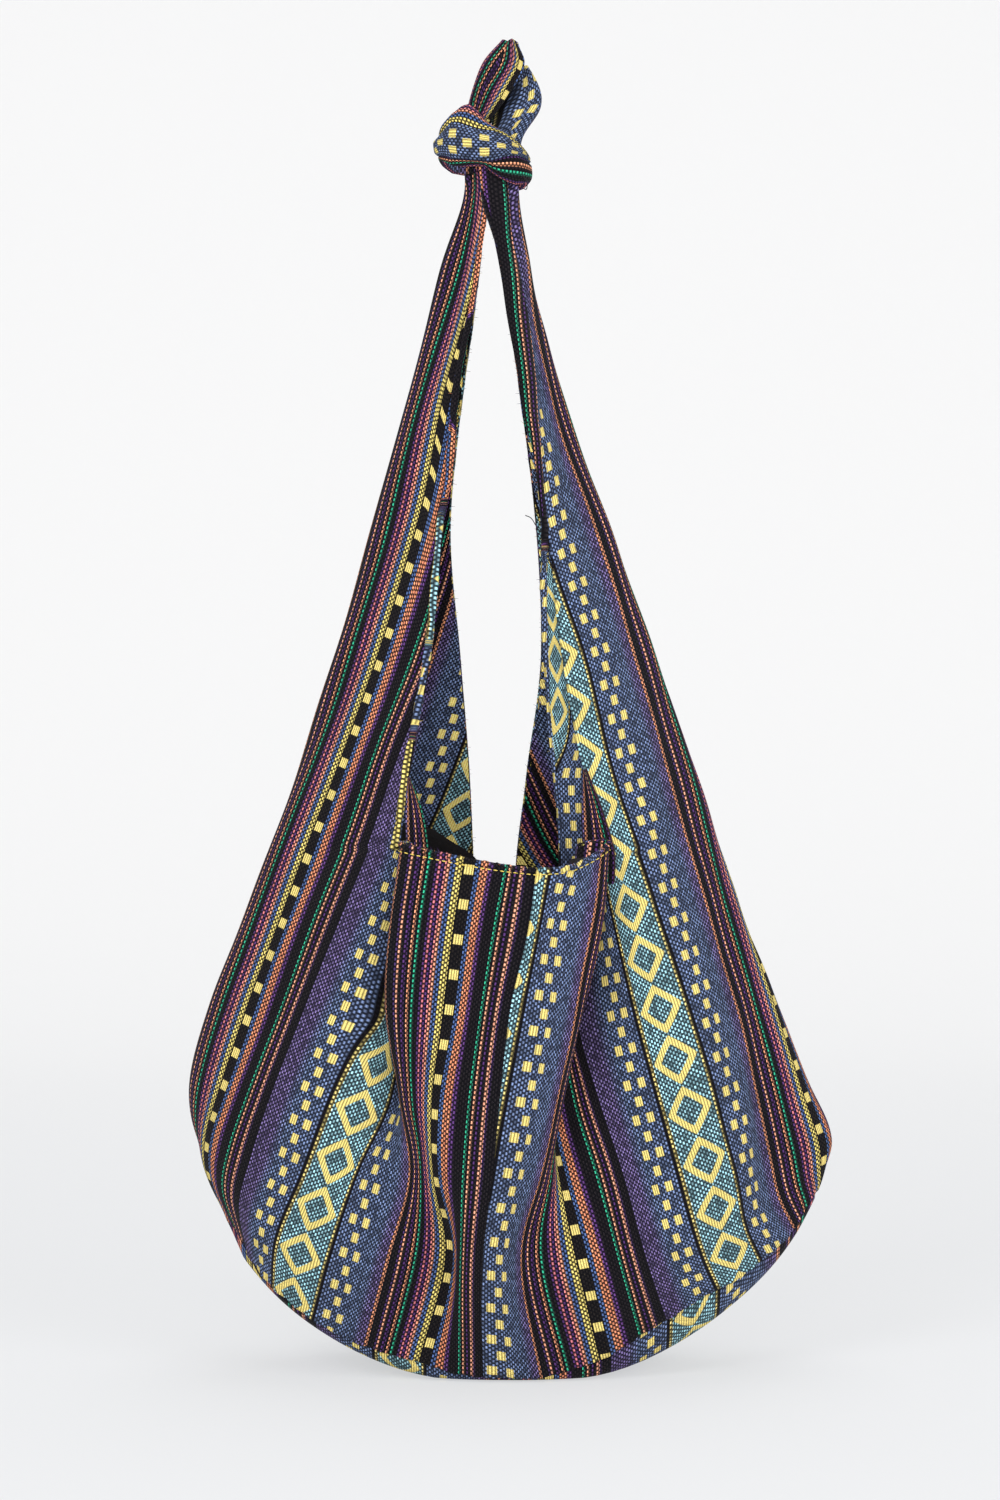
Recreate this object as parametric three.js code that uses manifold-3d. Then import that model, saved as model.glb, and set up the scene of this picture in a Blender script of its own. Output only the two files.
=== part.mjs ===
// A slouchy crossbody sack of striped handwoven cotton that stands on its base.
// Two cloth halves meet at a centre-front and a centre-back seam. Each half tapers up into a wide
// strap, and the two straps are tied in one knot at the top. A pointed base panel closes the bottom
// and a black lining hangs inside. Millimetres, +Z up, the front faces -Y, the origin is on the
// table under the middle of the base.
import * as THREE from 'three';
import Module from 'manifold-3d';

const wasm = await Module();
wasm.setup();

// Driving dimensions
const CLOTH = 1.4;
const LINING_CLOTH = 0.8;
const LINING_GAP = 1.3;
const SEAM_GAP = 0.4;
const BAG_DEPTH = 160;
const ROUND_CENTRE_Z = 150;
const ROUND_DROP = 155;
const ROUND_HALF_WIDTH = 178;
const KNOT_CENTRE = new THREE.Vector3(-15, 0, 656);

// Rows and columns of the cloth nets
const ROWS_PER_LEVEL = 2;
const COLUMNS_PER_RAIL = 2;
const HEM_LEVEL = 6;
const KNOT_LEVEL = 12;
const BASE_ROWS = 6;
const BASE_FLAT_SHARE = 0.67;
const BASE_SAG = 0.6;
const LINING_TOP_LEVEL = 5.5;
const LINING_BASE_LIFT = 8;

// Front rails of the left half, from the centre-front seam to the left side fold. Each rail is one
// warp line of the cloth, from the base seam up to the hem of the mouth, in seven levels.
const FRONT_SEAM = [
  [-15, -50, 7.5], [-15, -74, 68], [-10, -80, 110], [-6.5, -82, 150], [-1, -82, 195], [9, -80, 240],
  [13, -77, 270],
];
const LEFT_FRONT = [
  [[-28.5, -50, 9.5], [-27, -71, 68], [-26, -79, 110], [-23, -81, 150], [-17, -81, 195], [-10, -79, 240],
    [-4, -76, 272]],
  [[-46, -49, 13], [-32, -58, 68], [-40, -71, 110], [-40, -77, 150], [-33, -78, 195], [-27, -77, 240],
    [-21.5, -74, 275]],
  [[-77, -46, 18], [-64, -61, 68], [-53, -61, 110], [-58, -63, 150], [-65, -67, 195], [-63, -68, 240],
    [-57, -66, 283]],
  [[-95.5, -43, 26], [-84, -57, 68], [-72, -59, 110], [-57, -50, 150], [-57, -54, 195], [-56, -56, 240],
    [-54, -55, 283]],
  [[-117, -37, 39], [-111, -50, 68], [-94, -59, 110], [-77, -58, 150], [-54, -46, 195], [-48, -44, 240],
    [-44, -42, 278]],
];
// The next rails run on past the mouth into the strap, through the knot and up to the tail's tip.
const LEFT_STRAP_FRONT = [
  [[-132.6, -26, 52], [-131, -42, 80], [-119, -52, 112], [-106, -57, 150], [-88, -58, 195], [-71, -56, 240],
    [-60, -54, 279], [-54, -51, 320], [-43, -41, 380], [-36.5, -30, 450], [-31, -21, 520], [-18, -15, 590],
    [-14, -12, 632], [-15.5, -9, 661], [-1, -11, 684], [7, -9, 701], [3, -7, 713]],
  [[-150, -8, 76], [-160, -16, 103], [-161, -23, 125], [-154, -29, 150], [-138, -28, 195], [-122, -27, 240],
    [-108, -26, 277], [-91, -29, 320], [-70, -27, 380], [-50, -25, 450], [-40, -18, 520], [-26, -13, 590],
    [-20, -10, 632], [-22, -7, 661], [-17, -10, 684], [-7, -10, 701], [-2, -7, 713]],
];
const LEFT_SIDE = [
  [-154, 0, 80], [-161, 0, 97], [-169, 0, 118], [-173.3, 0, 150], [-162.5, 0, 195], [-145, 0, 240],
  [-132, 0, 275], [-116, 0, 320], [-96, 0, 380], [-75.5, 0, 450], [-56.5, 0, 520], [-38.5, 0, 590],
  [-25, 0, 632], [-25, 0, 661], [-21, -2, 684], [-15.5, -4, 701], [-4, -4, 713],
];
const LEFT_BACK_HEM = [
  [-23.5, 45, 320], [-28, 38, 380], [-33.5, 30, 450], [-27, 22, 520], [-17.5, 15, 590], [-14, 12, 632],
  [-15.5, 9, 661], [-4, 6, 684], [7, 4, 701], [3, 0, 713],
];

// Front rails of the right half, from the centre-front seam to the right side fold
const RIGHT_FRONT = [
  [[-4.5, -50, 7.3], [-6, -72, 68], [2, -79, 110], [9.5, -81, 150], [17, -81, 195], [23, -79, 240],
    [32, -75, 272]],
  [[15.6, -50, 8], [6, -62, 68], [16.5, -69, 110], [24, -71, 150], [31, -71, 195], [39, -70, 240],
    [45, -66, 284]],
  [[49, -48, 16], [36, -62, 68], [26, -57, 110], [20, -54, 150], [24, -52, 195], [30, -51, 240],
    [36, -50, 282]],
  [[74, -44, 27], [62, -62, 68], [51, -59, 110], [38, -50, 150], [29, -41, 195], [33, -39, 240],
    [38, -37, 277]],
  [[100, -37, 41], [89, -55, 68], [76.5, -60, 110], [66, -58, 150], [55, -53, 195], [48, -48, 240],
    [43, -45, 278]],
];
const RIGHT_STRAP_FRONT = [
  [[121.5, -29, 52], [112, -43, 75], [103.5, -54, 110], [91, -57, 150], [78, -55, 195], [64, -52, 240],
    [54, -50, 278], [39, -48, 320], [25, -40, 380], [19.5, -30, 450], [7, -22, 520], [-4.5, -15, 590],
    [-10, -12, 632], [-11.5, -9, 661], [0, -2, 682], [4, 2, 692], [7, 7, 700]],
  [[141, -20, 64.5], [131, -29, 85], [126, -36, 112], [117, -42, 150], [104, -42, 195], [90, -40, 240],
    [78, -38, 277], [65, -38, 320], [52, -32, 380], [29, -25, 450], [14, -17, 520], [2.5, -12, 590],
    [-5, -10, 632], [-6, -8, 661], [7, -3, 682], [10, 0, 692], [10, 6, 700]],
  [[152, -12, 75], [143.5, -17, 92], [138, -20, 115], [131, -24, 150], [120, -24, 195], [106.5, -23, 240],
    [96, -22, 276], [83.5, -21, 320], [65, -18, 380], [41.5, -14, 450], [20.5, -10, 520], [6, -7, 590],
    [0, -6, 632], [-3, -5, 661], [13, -1, 682], [15, 3, 692], [13, 7, 700]],
];
const RIGHT_SIDE = [
  [166, 0, 95], [169.5, 0, 106], [173, 0, 121], [162, 0, 150], [144, 0, 195], [126.5, 0, 240],
  [114.5, 0, 275], [100.5, 0, 320], [79, 0, 380], [54.5, 0, 450], [29, 0, 520], [11, 0, 590],
  [1, 0, 632], [-1.5, 0, 661], [16, 5, 682], [17, 8, 692], [14, 10, 700],
];
const RIGHT_BACK_HEM = [
  [9.5, 45, 320], [17, 38, 380], [14.5, 30, 450], [6, 22, 520], [-4, 15, 590], [-10, 12, 632],
  [-11.5, 9, 661], [2, 14, 682], [6, 15, 692], [9, 12, 700],
];

// The centre-back seam, from the base seam up to the low back of the mouth
const BACK_SEAM = [
  [-15, 50, 7.5], [-12, 72, 68], [-8, BAG_DEPTH / 2 - 2, 110], [-5, BAG_DEPTH / 2, 150], [-3, 77, 195],
  [-6, 70, 240], [-8, 62, 258],
];

const point = ([x, y, z]) => new THREE.Vector3(x, y, z);

function railCurve(points) {
  return new THREE.CatmullRomCurve3(points.map(point), false, 'centripetal');
}

function atLevel(curve, level) {
  return curve.getPoint(Math.min(1, level / (curve.points.length - 1)));
}

// The back rails of one half are quarter ellipses from the side fold to the centre-back seam, and
// above the mouth to the back hem of the strap. The base seam is a mirror of the front one.
function backRails(frontRails, side, backHem) {
  const count = frontRails.length;
  const turn = (index) => Math.sqrt(index / count) * (Math.PI / 2);
  const hemTurn = turn(count - 1);
  const onEllipse = (from, to, angle) => [
    from[0] + (to[0] - from[0]) * (1 - Math.cos(angle)),
    from[1] + (to[1] - from[1]) * Math.sin(angle),
    from[2] + (to[2] - from[2]) * (1 - Math.cos(angle)) ** 2,
  ];
  const rails = [];
  for (let index = 1; index < count; index += 1) {
    const [x, y, z] = frontRails[count - index][0];
    const rail = [[x, -y, z]];
    for (let level = 1; level <= HEM_LEVEL; level += 1) {
      rail.push(onEllipse(side[level], BACK_SEAM[level], turn(index)));
    }
    backHem.forEach((hem, step) => {
      const angle = (turn(index) / hemTurn) * (Math.PI / 2);
      rail.push(onEllipse(side[HEM_LEVEL + 1 + step], hem, angle));
    });
    rails.push(rail);
  }
  return rails;
}

// All rails of one half, in order from the centre-front seam round the side to the centre-back seam
function halfRails(front, strapFront, side, backHem, seamShift) {
  const shifted = (seam) => seam.map(([x, y, z]) => [x + seamShift, y, z]);
  const frontRails = [shifted(FRONT_SEAM), ...front, ...strapFront];
  const rails = [...frontRails, side, ...backRails(frontRails, side, backHem), shifted(BACK_SEAM)];
  return {
    curves: rails.map(railCurve),
    strapFrom: front.length + 1,
    strapTo: rails.length - 2,
    sideIndex: frontRails.length,
  };
}

const LEFT = halfRails(LEFT_FRONT, LEFT_STRAP_FRONT, LEFT_SIDE, LEFT_BACK_HEM, -SEAM_GAP);
const RIGHT = halfRails(RIGHT_FRONT, RIGHT_STRAP_FRONT, RIGHT_SIDE, RIGHT_BACK_HEM, SEAM_GAP);

// One row of net points across the rails at a level
function netRow(curves, level) {
  const stations = curves.map((curve) => atLevel(curve, level));
  const across = new THREE.CatmullRomCurve3(stations, false, 'centripetal');
  return across.getPoints((curves.length - 1) * COLUMNS_PER_RAIL);
}

function bodyRows(half, topLevel) {
  const rows = [];
  for (let step = 0; step <= topLevel * ROWS_PER_LEVEL; step += 1) {
    rows.push(netRow(half.curves, step / ROWS_PER_LEVEL));
  }
  return rows;
}

function strapRows(half, hemRow) {
  const strapCurves = half.curves.slice(half.strapFrom, half.strapTo + 1);
  const rows = [hemRow.slice(half.strapFrom * COLUMNS_PER_RAIL, half.strapTo * COLUMNS_PER_RAIL + 1)];
  const topLevel = strapCurves[0].points.length - 1;
  let level = HEM_LEVEL;
  while (level < topLevel) {
    level += level < KNOT_LEVEL ? 1 : 1 / ROWS_PER_LEVEL;
    rows.push(netRow(strapCurves, level));
  }
  return rows;
}

// A sheet is a set of shared points and triangles. Nets are added to it with welded borders.
function makeSheet() {
  return { points: [], triangles: [], places: new Map() };
}

function placeOf(sheet, position) {
  const key = position.toArray().map((value) => Math.round(value * 1000)).join(' ');
  if (!sheet.places.has(key)) {
    sheet.places.set(key, sheet.points.length);
    sheet.points.push(position.clone());
  }
  return sheet.places.get(key);
}

function addTriangle(sheet, a, b, c) {
  if (a !== b && b !== c && c !== a) {
    sheet.triangles.push([a, b, c]);
  }
}

function addNet(sheet, rows, reverse) {
  const net = rows.map((row) => row.map((position) => placeOf(sheet, position)));
  for (let r = 0; r + 1 < net.length; r += 1) {
    for (let c = 0; c + 1 < net[r].length; c += 1) {
      const corners = [net[r][c], net[r + 1][c], net[r + 1][c + 1], net[r][c + 1]];
      if (reverse) {
        corners.reverse();
      }
      addTriangle(sheet, corners[0], corners[1], corners[2]);
      addTriangle(sheet, corners[0], corners[2], corners[3]);
    }
  }
}

// Mitred outward directions, so that a wall keeps its thickness round a fold. Each face counts by its
// angle at the corner.
function outwardDirections(sheet) {
  const SHARPEST = 0.6;
  const faceNormals = sheet.triangles.map(([a, b, c]) => {
    const ab = sheet.points[b].clone().sub(sheet.points[a]);
    const ac = sheet.points[c].clone().sub(sheet.points[a]);
    return ab.cross(ac).normalize();
  });
  const directions = sheet.points.map(() => new THREE.Vector3());
  sheet.triangles.forEach((triangle, index) => {
    triangle.forEach((corner, turn) => {
      const toNext = sheet.points[triangle[(turn + 1) % 3]].clone().sub(sheet.points[corner]);
      const toLast = sheet.points[triangle[(turn + 2) % 3]].clone().sub(sheet.points[corner]);
      directions[corner].addScaledVector(faceNormals[index], toNext.angleTo(toLast));
    });
  });
  directions.forEach((direction) => direction.normalize());
  const leastCosine = directions.map(() => 1);
  sheet.triangles.forEach((triangle, index) => {
    triangle.forEach((corner) => {
      leastCosine[corner] = Math.min(leastCosine[corner], faceNormals[index].dot(directions[corner]));
    });
  });
  return directions.map((direction, index) => (
    direction.divideScalar(Math.max(SHARPEST, leastCosine[index]))
  ));
}

// A closed wall between two offsets of a sheet, both measured inward from it
function wallGeometry(sheet, outerInset, innerInset) {
  const directions = outwardDirections(sheet);
  const offsetPoints = (inset) => sheet.points.map((position, index) => (
    position.clone().addScaledVector(directions[index], -inset)
  ));
  const vertices = [...offsetPoints(outerInset), ...offsetPoints(innerInset)];
  const shift = sheet.points.length;
  const index = [];
  const borders = new Map();
  sheet.triangles.forEach(([a, b, c]) => {
    index.push(a, b, c, shift + a, shift + c, shift + b);
    [[a, b], [b, c], [c, a]].forEach(([from, to]) => {
      const back = `${to} ${from}`;
      if (borders.has(back)) {
        borders.delete(back);
      } else {
        borders.set(`${from} ${to}`, [from, to]);
      }
    });
  });
  borders.forEach(([from, to]) => {
    index.push(from, shift + from, to, to, shift + from, shift + to);
  });
  const geometry = new THREE.BufferGeometry();
  const positions = vertices.flatMap((vertex) => vertex.toArray());
  geometry.setAttribute('position', new THREE.Float32BufferAttribute(positions, 3));
  geometry.setIndex(index);
  geometry.computeVertexNormals();
  return geometry;
}

function panelSheet(half, reverse) {
  const sheet = makeSheet();
  const body = bodyRows(half, HEM_LEVEL);
  addNet(sheet, body, reverse);
  addNet(sheet, strapRows(half, body[body.length - 1]), reverse);
  return sheet;
}

// The underside is a rounded keel in the front view, flattened where it stands on the table.
function keelHeight(x) {
  return Math.max(0, ROUND_CENTRE_Z - ROUND_DROP * Math.sqrt(1 - (x / ROUND_HALF_WIDTH) ** 2));
}

// Rows of the base from its front seam to its back seam, pulled in from the panels by an inset and
// raised by a lift where a second cloth lies on the first
function baseRows(inset, raise) {
  const frontHalf = (half) => netRow(half.curves, 0).slice(0, half.sideIndex * COLUMNS_PER_RAIL + 1);
  const frontEdge = [...frontHalf(LEFT).reverse(), ...frontHalf(RIGHT)];
  const rows = [];
  for (let step = 0; step <= BASE_ROWS; step += 1) {
    const share = (2 * step) / BASE_ROWS - 1;
    const lift = Math.max(0, (Math.abs(share) - BASE_FLAT_SHARE) / (1 - BASE_FLAT_SHARE));
    rows.push(frontEdge.map((edge) => {
      const halfDepth = Math.max(0, -edge.y - inset);
      const sagged = Math.max(keelHeight(edge.x), edge.z + BASE_SAG * edge.y);
      const low = Math.min(edge.z, sagged + raise);
      return new THREE.Vector3(edge.x, share * halfDepth, low + (edge.z - low) * lift);
    }));
  }
  return rows;
}

function baseSheet() {
  const END_COLUMNS = 2;
  const sheet = makeSheet();
  const rows = baseRows(CLOTH + SEAM_GAP, 0);
  addNet(sheet, rows.map((row) => row.slice(END_COLUMNS, -END_COLUMNS)), false);
  return sheet;
}

// The lining is the same sack, one wall further in, and ends under the hem of the mouth.
function liningSheet() {
  const sheet = makeSheet();
  const leftRows = bodyRows(LEFT, LINING_TOP_LEVEL);
  const rightRows = bodyRows(RIGHT, LINING_TOP_LEVEL);
  addNet(sheet, leftRows, false);
  addNet(sheet, rightRows, true);
  const seamStrip = (column, reverse) => {
    const strip = leftRows.map((row, r) => [row.at(column), rightRows[r].at(column)]);
    addNet(sheet, strip, reverse);
  };
  seamStrip(0, true);
  seamStrip(-1, false);
  addNet(sheet, baseRows(0, LINING_BASE_LIFT), false);
  return sheet;
}

function solidOf(geometry) {
  const mesh = new wasm.Mesh({
    numProp: 3,
    vertProperties: geometry.getAttribute('position').array,
    triVerts: Uint32Array.from(geometry.getIndex().array),
  });
  return new wasm.Manifold(mesh);
}

// The lining is trimmed where a tight fold would press it into the outer cloth.
function liningGeometry(outerSheets) {
  const inset = CLOTH + LINING_GAP;
  let solid = solidOf(wallGeometry(liningSheet(), inset, inset + LINING_CLOTH));
  outerSheets.forEach((sheet) => {
    solid = solid.subtract(solidOf(wallGeometry(sheet, -SEAM_GAP, CLOTH + LINING_GAP / 2)));
  });
  const [largest] = solid.decompose().sort((one, other) => other.volume() - one.volume());
  const { vertProperties, triVerts } = largest.getMesh();
  const geometry = new THREE.BufferGeometry();
  geometry.setAttribute('position', new THREE.BufferAttribute(vertProperties, 3));
  geometry.setIndex(Array.from(triVerts));
  geometry.computeVertexNormals();
  return geometry;
}

// The knot's turn is a flattened ring of gathered cloth round both strap ends, higher on the left.
function knotGeometry() {
  const RING = { reachX: 21, reachY: 17, halfWall: 5.8, halfHeight: 15, slope: 0.25, steps: 28, sides: 12 };
  const positions = [];
  const index = [];
  for (let step = 0; step < RING.steps; step += 1) {
    const around = (2 * Math.PI * step) / RING.steps;
    for (let side = 0; side < RING.sides; side += 1) {
      const angle = (2 * Math.PI * side) / RING.sides;
      const grow = RING.halfWall * Math.cos(angle);
      const x = (RING.reachX + grow) * Math.cos(around);
      const y = (RING.reachY + grow) * Math.sin(around);
      positions.push(x, y, RING.halfHeight * Math.sin(angle) - RING.slope * x);
      const next = ((step + 1) % RING.steps) * RING.sides;
      const here = step * RING.sides;
      const up = (side + 1) % RING.sides;
      index.push(here + side, next + side, next + up, here + side, next + up, here + up);
    }
  }
  const geometry = new THREE.BufferGeometry();
  geometry.setAttribute('position', new THREE.Float32BufferAttribute(positions, 3));
  geometry.setIndex(index);
  geometry.computeVertexNormals();
  return geometry;
}

function addPiece(group, name, geometry, colour) {
  const material = new THREE.MeshStandardMaterial({ color: colour, roughness: 0.95, metalness: 0 });
  const mesh = new THREE.Mesh(geometry, material);
  mesh.name = name;
  group.add(mesh);
  return mesh;
}

const leftSheet = panelSheet(LEFT, false);
const rightSheet = panelSheet(RIGHT, true);
const underSheet = baseSheet();

const bag = new THREE.Group();
addPiece(bag, 'left_panel', wallGeometry(leftSheet, 0, CLOTH), 0x3a3a66);
addPiece(bag, 'right_panel', wallGeometry(rightSheet, 0, CLOTH), 0x3a3f70);
addPiece(bag, 'base_panel', wallGeometry(underSheet, 0, CLOTH), 0x33497f);
addPiece(bag, 'lining', liningGeometry([leftSheet, rightSheet, underSheet]), 0x2a2829);
addPiece(bag, 'knot_wrap', knotGeometry(), 0x33497f).position.copy(KNOT_CENTRE);

export default bag;
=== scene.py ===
import math
from types import SimpleNamespace

import bpy
import numpy as np
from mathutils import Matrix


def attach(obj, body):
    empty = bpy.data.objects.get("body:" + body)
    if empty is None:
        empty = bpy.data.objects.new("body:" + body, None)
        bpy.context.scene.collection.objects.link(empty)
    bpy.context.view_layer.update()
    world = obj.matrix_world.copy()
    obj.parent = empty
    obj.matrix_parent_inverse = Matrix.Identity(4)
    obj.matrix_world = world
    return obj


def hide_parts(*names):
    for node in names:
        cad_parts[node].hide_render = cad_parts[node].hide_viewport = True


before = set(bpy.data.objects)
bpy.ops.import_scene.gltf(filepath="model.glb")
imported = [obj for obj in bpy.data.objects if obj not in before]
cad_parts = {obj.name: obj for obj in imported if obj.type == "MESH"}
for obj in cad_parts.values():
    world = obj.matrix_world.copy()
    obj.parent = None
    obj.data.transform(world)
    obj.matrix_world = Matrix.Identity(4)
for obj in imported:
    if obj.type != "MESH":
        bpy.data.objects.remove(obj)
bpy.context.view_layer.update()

# The studio. A pale floor runs back and turns up into a backdrop, large soft lamps stand in front,
# and the camera looks level at the middle of the bag.
scene = bpy.context.scene
scene.view_settings.view_transform = "Standard"

camera_data = bpy.data.cameras.new("photo_camera")
camera_data.lens = 77.8
camera_data.sensor_width = 36.0
camera = bpy.data.objects.new("photo_camera", camera_data)
camera.location = (-0.00594, -1.75, 0.3315)
camera.rotation_euler = (math.radians(90), 0, 0)
scene.collection.objects.link(camera)
scene.camera = camera


def linear(colour):
    """An opaque colour written as six hex digits, in Blender's linear values."""
    parts = [int(colour[k:k + 2], 16) / 255 for k in (0, 2, 4)]
    return (*(v / 12.92 if v <= 0.04045 else ((v + 0.055) / 1.055) ** 2.4 for v in parts), 1)


def soft_lamp(name, place, aim, size, watts):
    """A round lamp that faces its aim."""
    lamp = bpy.data.lights.new(name, "AREA")
    lamp.shape = "DISK"
    lamp.size = size
    lamp.energy = watts
    holder = bpy.data.objects.new(name, lamp)
    holder.location = place
    toward = [a - p for a, p in zip(aim, place)]
    flat = math.hypot(toward[0], toward[1])
    holder.rotation_euler = (
        math.atan2(flat, -toward[2]), 0, math.atan2(toward[1], toward[0]) - math.pi / 2)
    scene.collection.objects.link(holder)


soft_lamp("key_lamp", (-1.3, -1.9, 1.7), (0, 0, 0.3), 1.3, 26)
soft_lamp("fill_lamp", (1.5, -1.6, 1.0), (0, 0, 0.3), 1.4, 21)
soft_lamp("front_lamp", (0.0, -2.6, 0.9), (0, 0, 0.35), 1.2, 16)
soft_lamp("top_lamp", (0.1, 0.5, 2.2), (0, 0, 0.2), 1.4, 14)

world = bpy.data.worlds.new("studio_air")
scene.world = world
world.use_nodes = True
world.node_tree.nodes["Background"].inputs["Color"].default_value = (1, 1, 1, 1)
world.node_tree.nodes["Background"].inputs["Strength"].default_value = 0.55

FLOOR_FRONT, FLOOR_BACK = -4.0, 1.6
FLOOR_DROP = 0.0004
COVE_BEND, COVE_START, COVE_POINTS = 1.2, 0.1, 14
BACKDROP_TOP, BACKDROP_SIDE = 5.0, 5.0
cove = [(FLOOR_FRONT, 0.0), (FLOOR_BACK, 0.0)]
cove += [(FLOOR_BACK + COVE_BEND * math.sin(a), COVE_BEND - COVE_BEND * math.cos(a))
         for a in np.linspace(COVE_START, math.pi / 2, COVE_POINTS)]
cove += [(FLOOR_BACK + COVE_BEND, BACKDROP_TOP)]
cove_points = [(x, y, z - FLOOR_DROP) for y, z in cove for x in (-BACKDROP_SIDE, BACKDROP_SIDE)]
cove_faces = [(2 * k, 2 * k + 1, 2 * k + 3, 2 * k + 2) for k in range(len(cove) - 1)]
cove_mesh = bpy.data.meshes.new("backdrop")
cove_mesh.from_pydata(cove_points, [], cove_faces)
cove_mesh.shade_smooth()
backdrop = bpy.data.objects.new("backdrop", cove_mesh)
scene.collection.objects.link(backdrop)


def add_node(tree, kind, settings=None, inputs=None):
    """A new node in a tree. Each input, by name or number, is a value or another node's output."""
    node = tree.nodes.new(kind)
    for key, value in (settings or {}).items():
        setattr(node, key, value)
    for key, value in (inputs or {}).items():
        if isinstance(value, bpy.types.NodeSocket):
            tree.links.new(value, node.inputs[key])
        else:
            node.inputs[key].default_value = value
    return node


def new_material(name, values):
    """A material, its node tree and its shader, with plain values set on the shader."""
    material = bpy.data.materials.new(name)
    material.use_nodes = True
    shader = material.node_tree.nodes["Principled BSDF"]
    for key, value in values.items():
        shader.inputs[key].default_value = value
    return material, material.node_tree, shader


paper, paper_tree, paper_shader = new_material("backdrop_paper", {
    "Base Color": (0.88, 0.885, 0.895, 1), "Roughness": 1.0, "Specular IOR Level": 0.0})
paper_place = add_node(paper_tree, "ShaderNodeTexCoord")
paper_axes = add_node(paper_tree, "ShaderNodeSeparateXYZ", inputs={0: paper_place.outputs["Object"]})
paper_back = add_node(
    paper_tree, "ShaderNodeMapRange", {"interpolation_type": "SMOOTHSTEP"},
    {"Value": paper_axes.outputs["Y"], "From Min": 0.3, "From Max": 2.8})
paper_tone = add_node(
    paper_tree, "ShaderNodeMix", {"data_type": "RGBA"},
    {0: paper_back.outputs["Result"], 6: (0.79, 0.80, 0.815, 1), 7: (1.0, 1.0, 1.0, 1)})
paper_glow = add_node(paper_tree, "ShaderNodeEmission", inputs={"Color": paper_tone.outputs[2]})
paper_path = add_node(paper_tree, "ShaderNodeLightPath")
paper_seen = paper_path.outputs["Is Camera Ray"]
for paper_ray in ("Is Glossy Ray", "Is Transmission Ray"):
    paper_seen = add_node(
        paper_tree, "ShaderNodeMath", {"operation": "MAXIMUM"},
        {0: paper_seen, 1: paper_path.outputs[paper_ray]}).outputs[0]
paper_share = add_node(paper_tree, "ShaderNodeMath", {"operation": "MULTIPLY"}, {0: paper_seen, 1: 0.72})
paper_mix = add_node(paper_tree, "ShaderNodeMixShader", inputs={
    0: paper_share.outputs[0], 1: paper_shader.outputs[0], 2: paper_glow.outputs[0]})
paper_tree.links.new(paper_mix.outputs[0], paper_tree.nodes["Material Output"].inputs["Surface"])
cove_mesh.materials.append(paper)

# The cloth's own colours. It is a coarse handwoven cotton with lengthwise stripes, bands of small
# yellow squares and one band of diamonds. The stripes repeat every 160 mm, which is 120 yarns, and
# the pattern is read from the weave map: U counts repeats across the yarns, V along them.
REPEAT = 0.160
YARNS = 120
PICKS = 124
STRIPES = [
    (0, "f2dc88"), (1, "aee4f2"), (19, "f2dc88"), (20, "17141a"), (21, "8aa0d0"), (35, "9481c0"),
    (45, "fcab82"), (46, "221e21"), (49, "4c3668"), (50, "fcb290"), (51, "221e21"), (52, "583672"),
    (53, "221e21"), (54, "fcab82"), (55, "211d20"), (56, "38b990"), (57, "211d20"), (59, "583672"),
    (60, "de7f8a"), (61, "583672"), (62, "f0938c"), (63, "fbac88"), (64, "5872aa"), (66, "fde784"),
    (68, "211d1c"), (73, "5872aa"), (75, "fca57a"), (76, "ea9170"), (77, "fca57a"), (78, "6a4486"),
    (80, "211d20"), (84, "38b990"), (85, "211d20"), (86, "fbb08c"), (87, "211d20"), (88, "583672"),
    (89, "211d20"), (90, "fcb290"), (91, "4c3668"), (92, "211d20"), (96, "9481c0"), (106, "8aa0d0"),
    (119, "17141a"),
]
# Other places in the pattern are in weave units of about 0.54 mm, 296 to a repeat
UNITS = 296
UNIT = 0.00054
weave, weave_tree, weave_shader = new_material("striped_handwoven_cotton", {
    "Roughness": 0.92, "Specular IOR Level": 0.08, "Sheen Weight": 0.03, "Sheen Roughness": 0.6})


class Field:
    """A number or a colour that varies over the cloth. Formulas with it add nodes to the weave's tree."""

    def __init__(self, kind, settings, inputs, output=0):
        sockets = {key: getattr(value, "socket", value) for key, value in inputs.items()}
        self.socket = add_node(weave_tree, kind, settings, sockets).outputs[output]

    def math(self, operation, *others):
        return Field("ShaderNodeMath", {"operation": operation}, dict(enumerate([self, *others])))

    def __add__(self, other):
        return self.math("ADD", other)

    def __sub__(self, other):
        return self.math("SUBTRACT", other)

    def __mul__(self, other):
        return self.math("MULTIPLY", other)

    def __truediv__(self, other):
        return self.math("DIVIDE", other)

    def __pow__(self, other):
        return self.math("POWER", other)

    def __abs__(self):
        return self.math("ABSOLUTE")


def blend(share, first, second):
    """A colour that goes from the first to the second as the share goes from 0 to 1."""
    return Field("ShaderNodeMix", {"data_type": "RGBA"}, {0: share, 6: first, 7: second}, 2)


def scaled(colour, light):
    """A colour made lighter or darker."""
    return Field("ShaderNodeVectorMath", {"operation": "SCALE"}, {0: colour, "Scale": light})


def ease(value, start, end):
    """0 up to the start, 1 from the end on, and a soft step between them."""
    return Field("ShaderNodeMapRange", {"interpolation_type": "SMOOTHSTEP"}, {
        "Value": value, "From Min": start, "From Max": end}, "Result")


def band(value, middle, reach, soft):
    """1 where the value is within reach of the middle, with a soft edge."""
    return ease(abs(value - middle), reach + soft, reach - soft)


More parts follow.
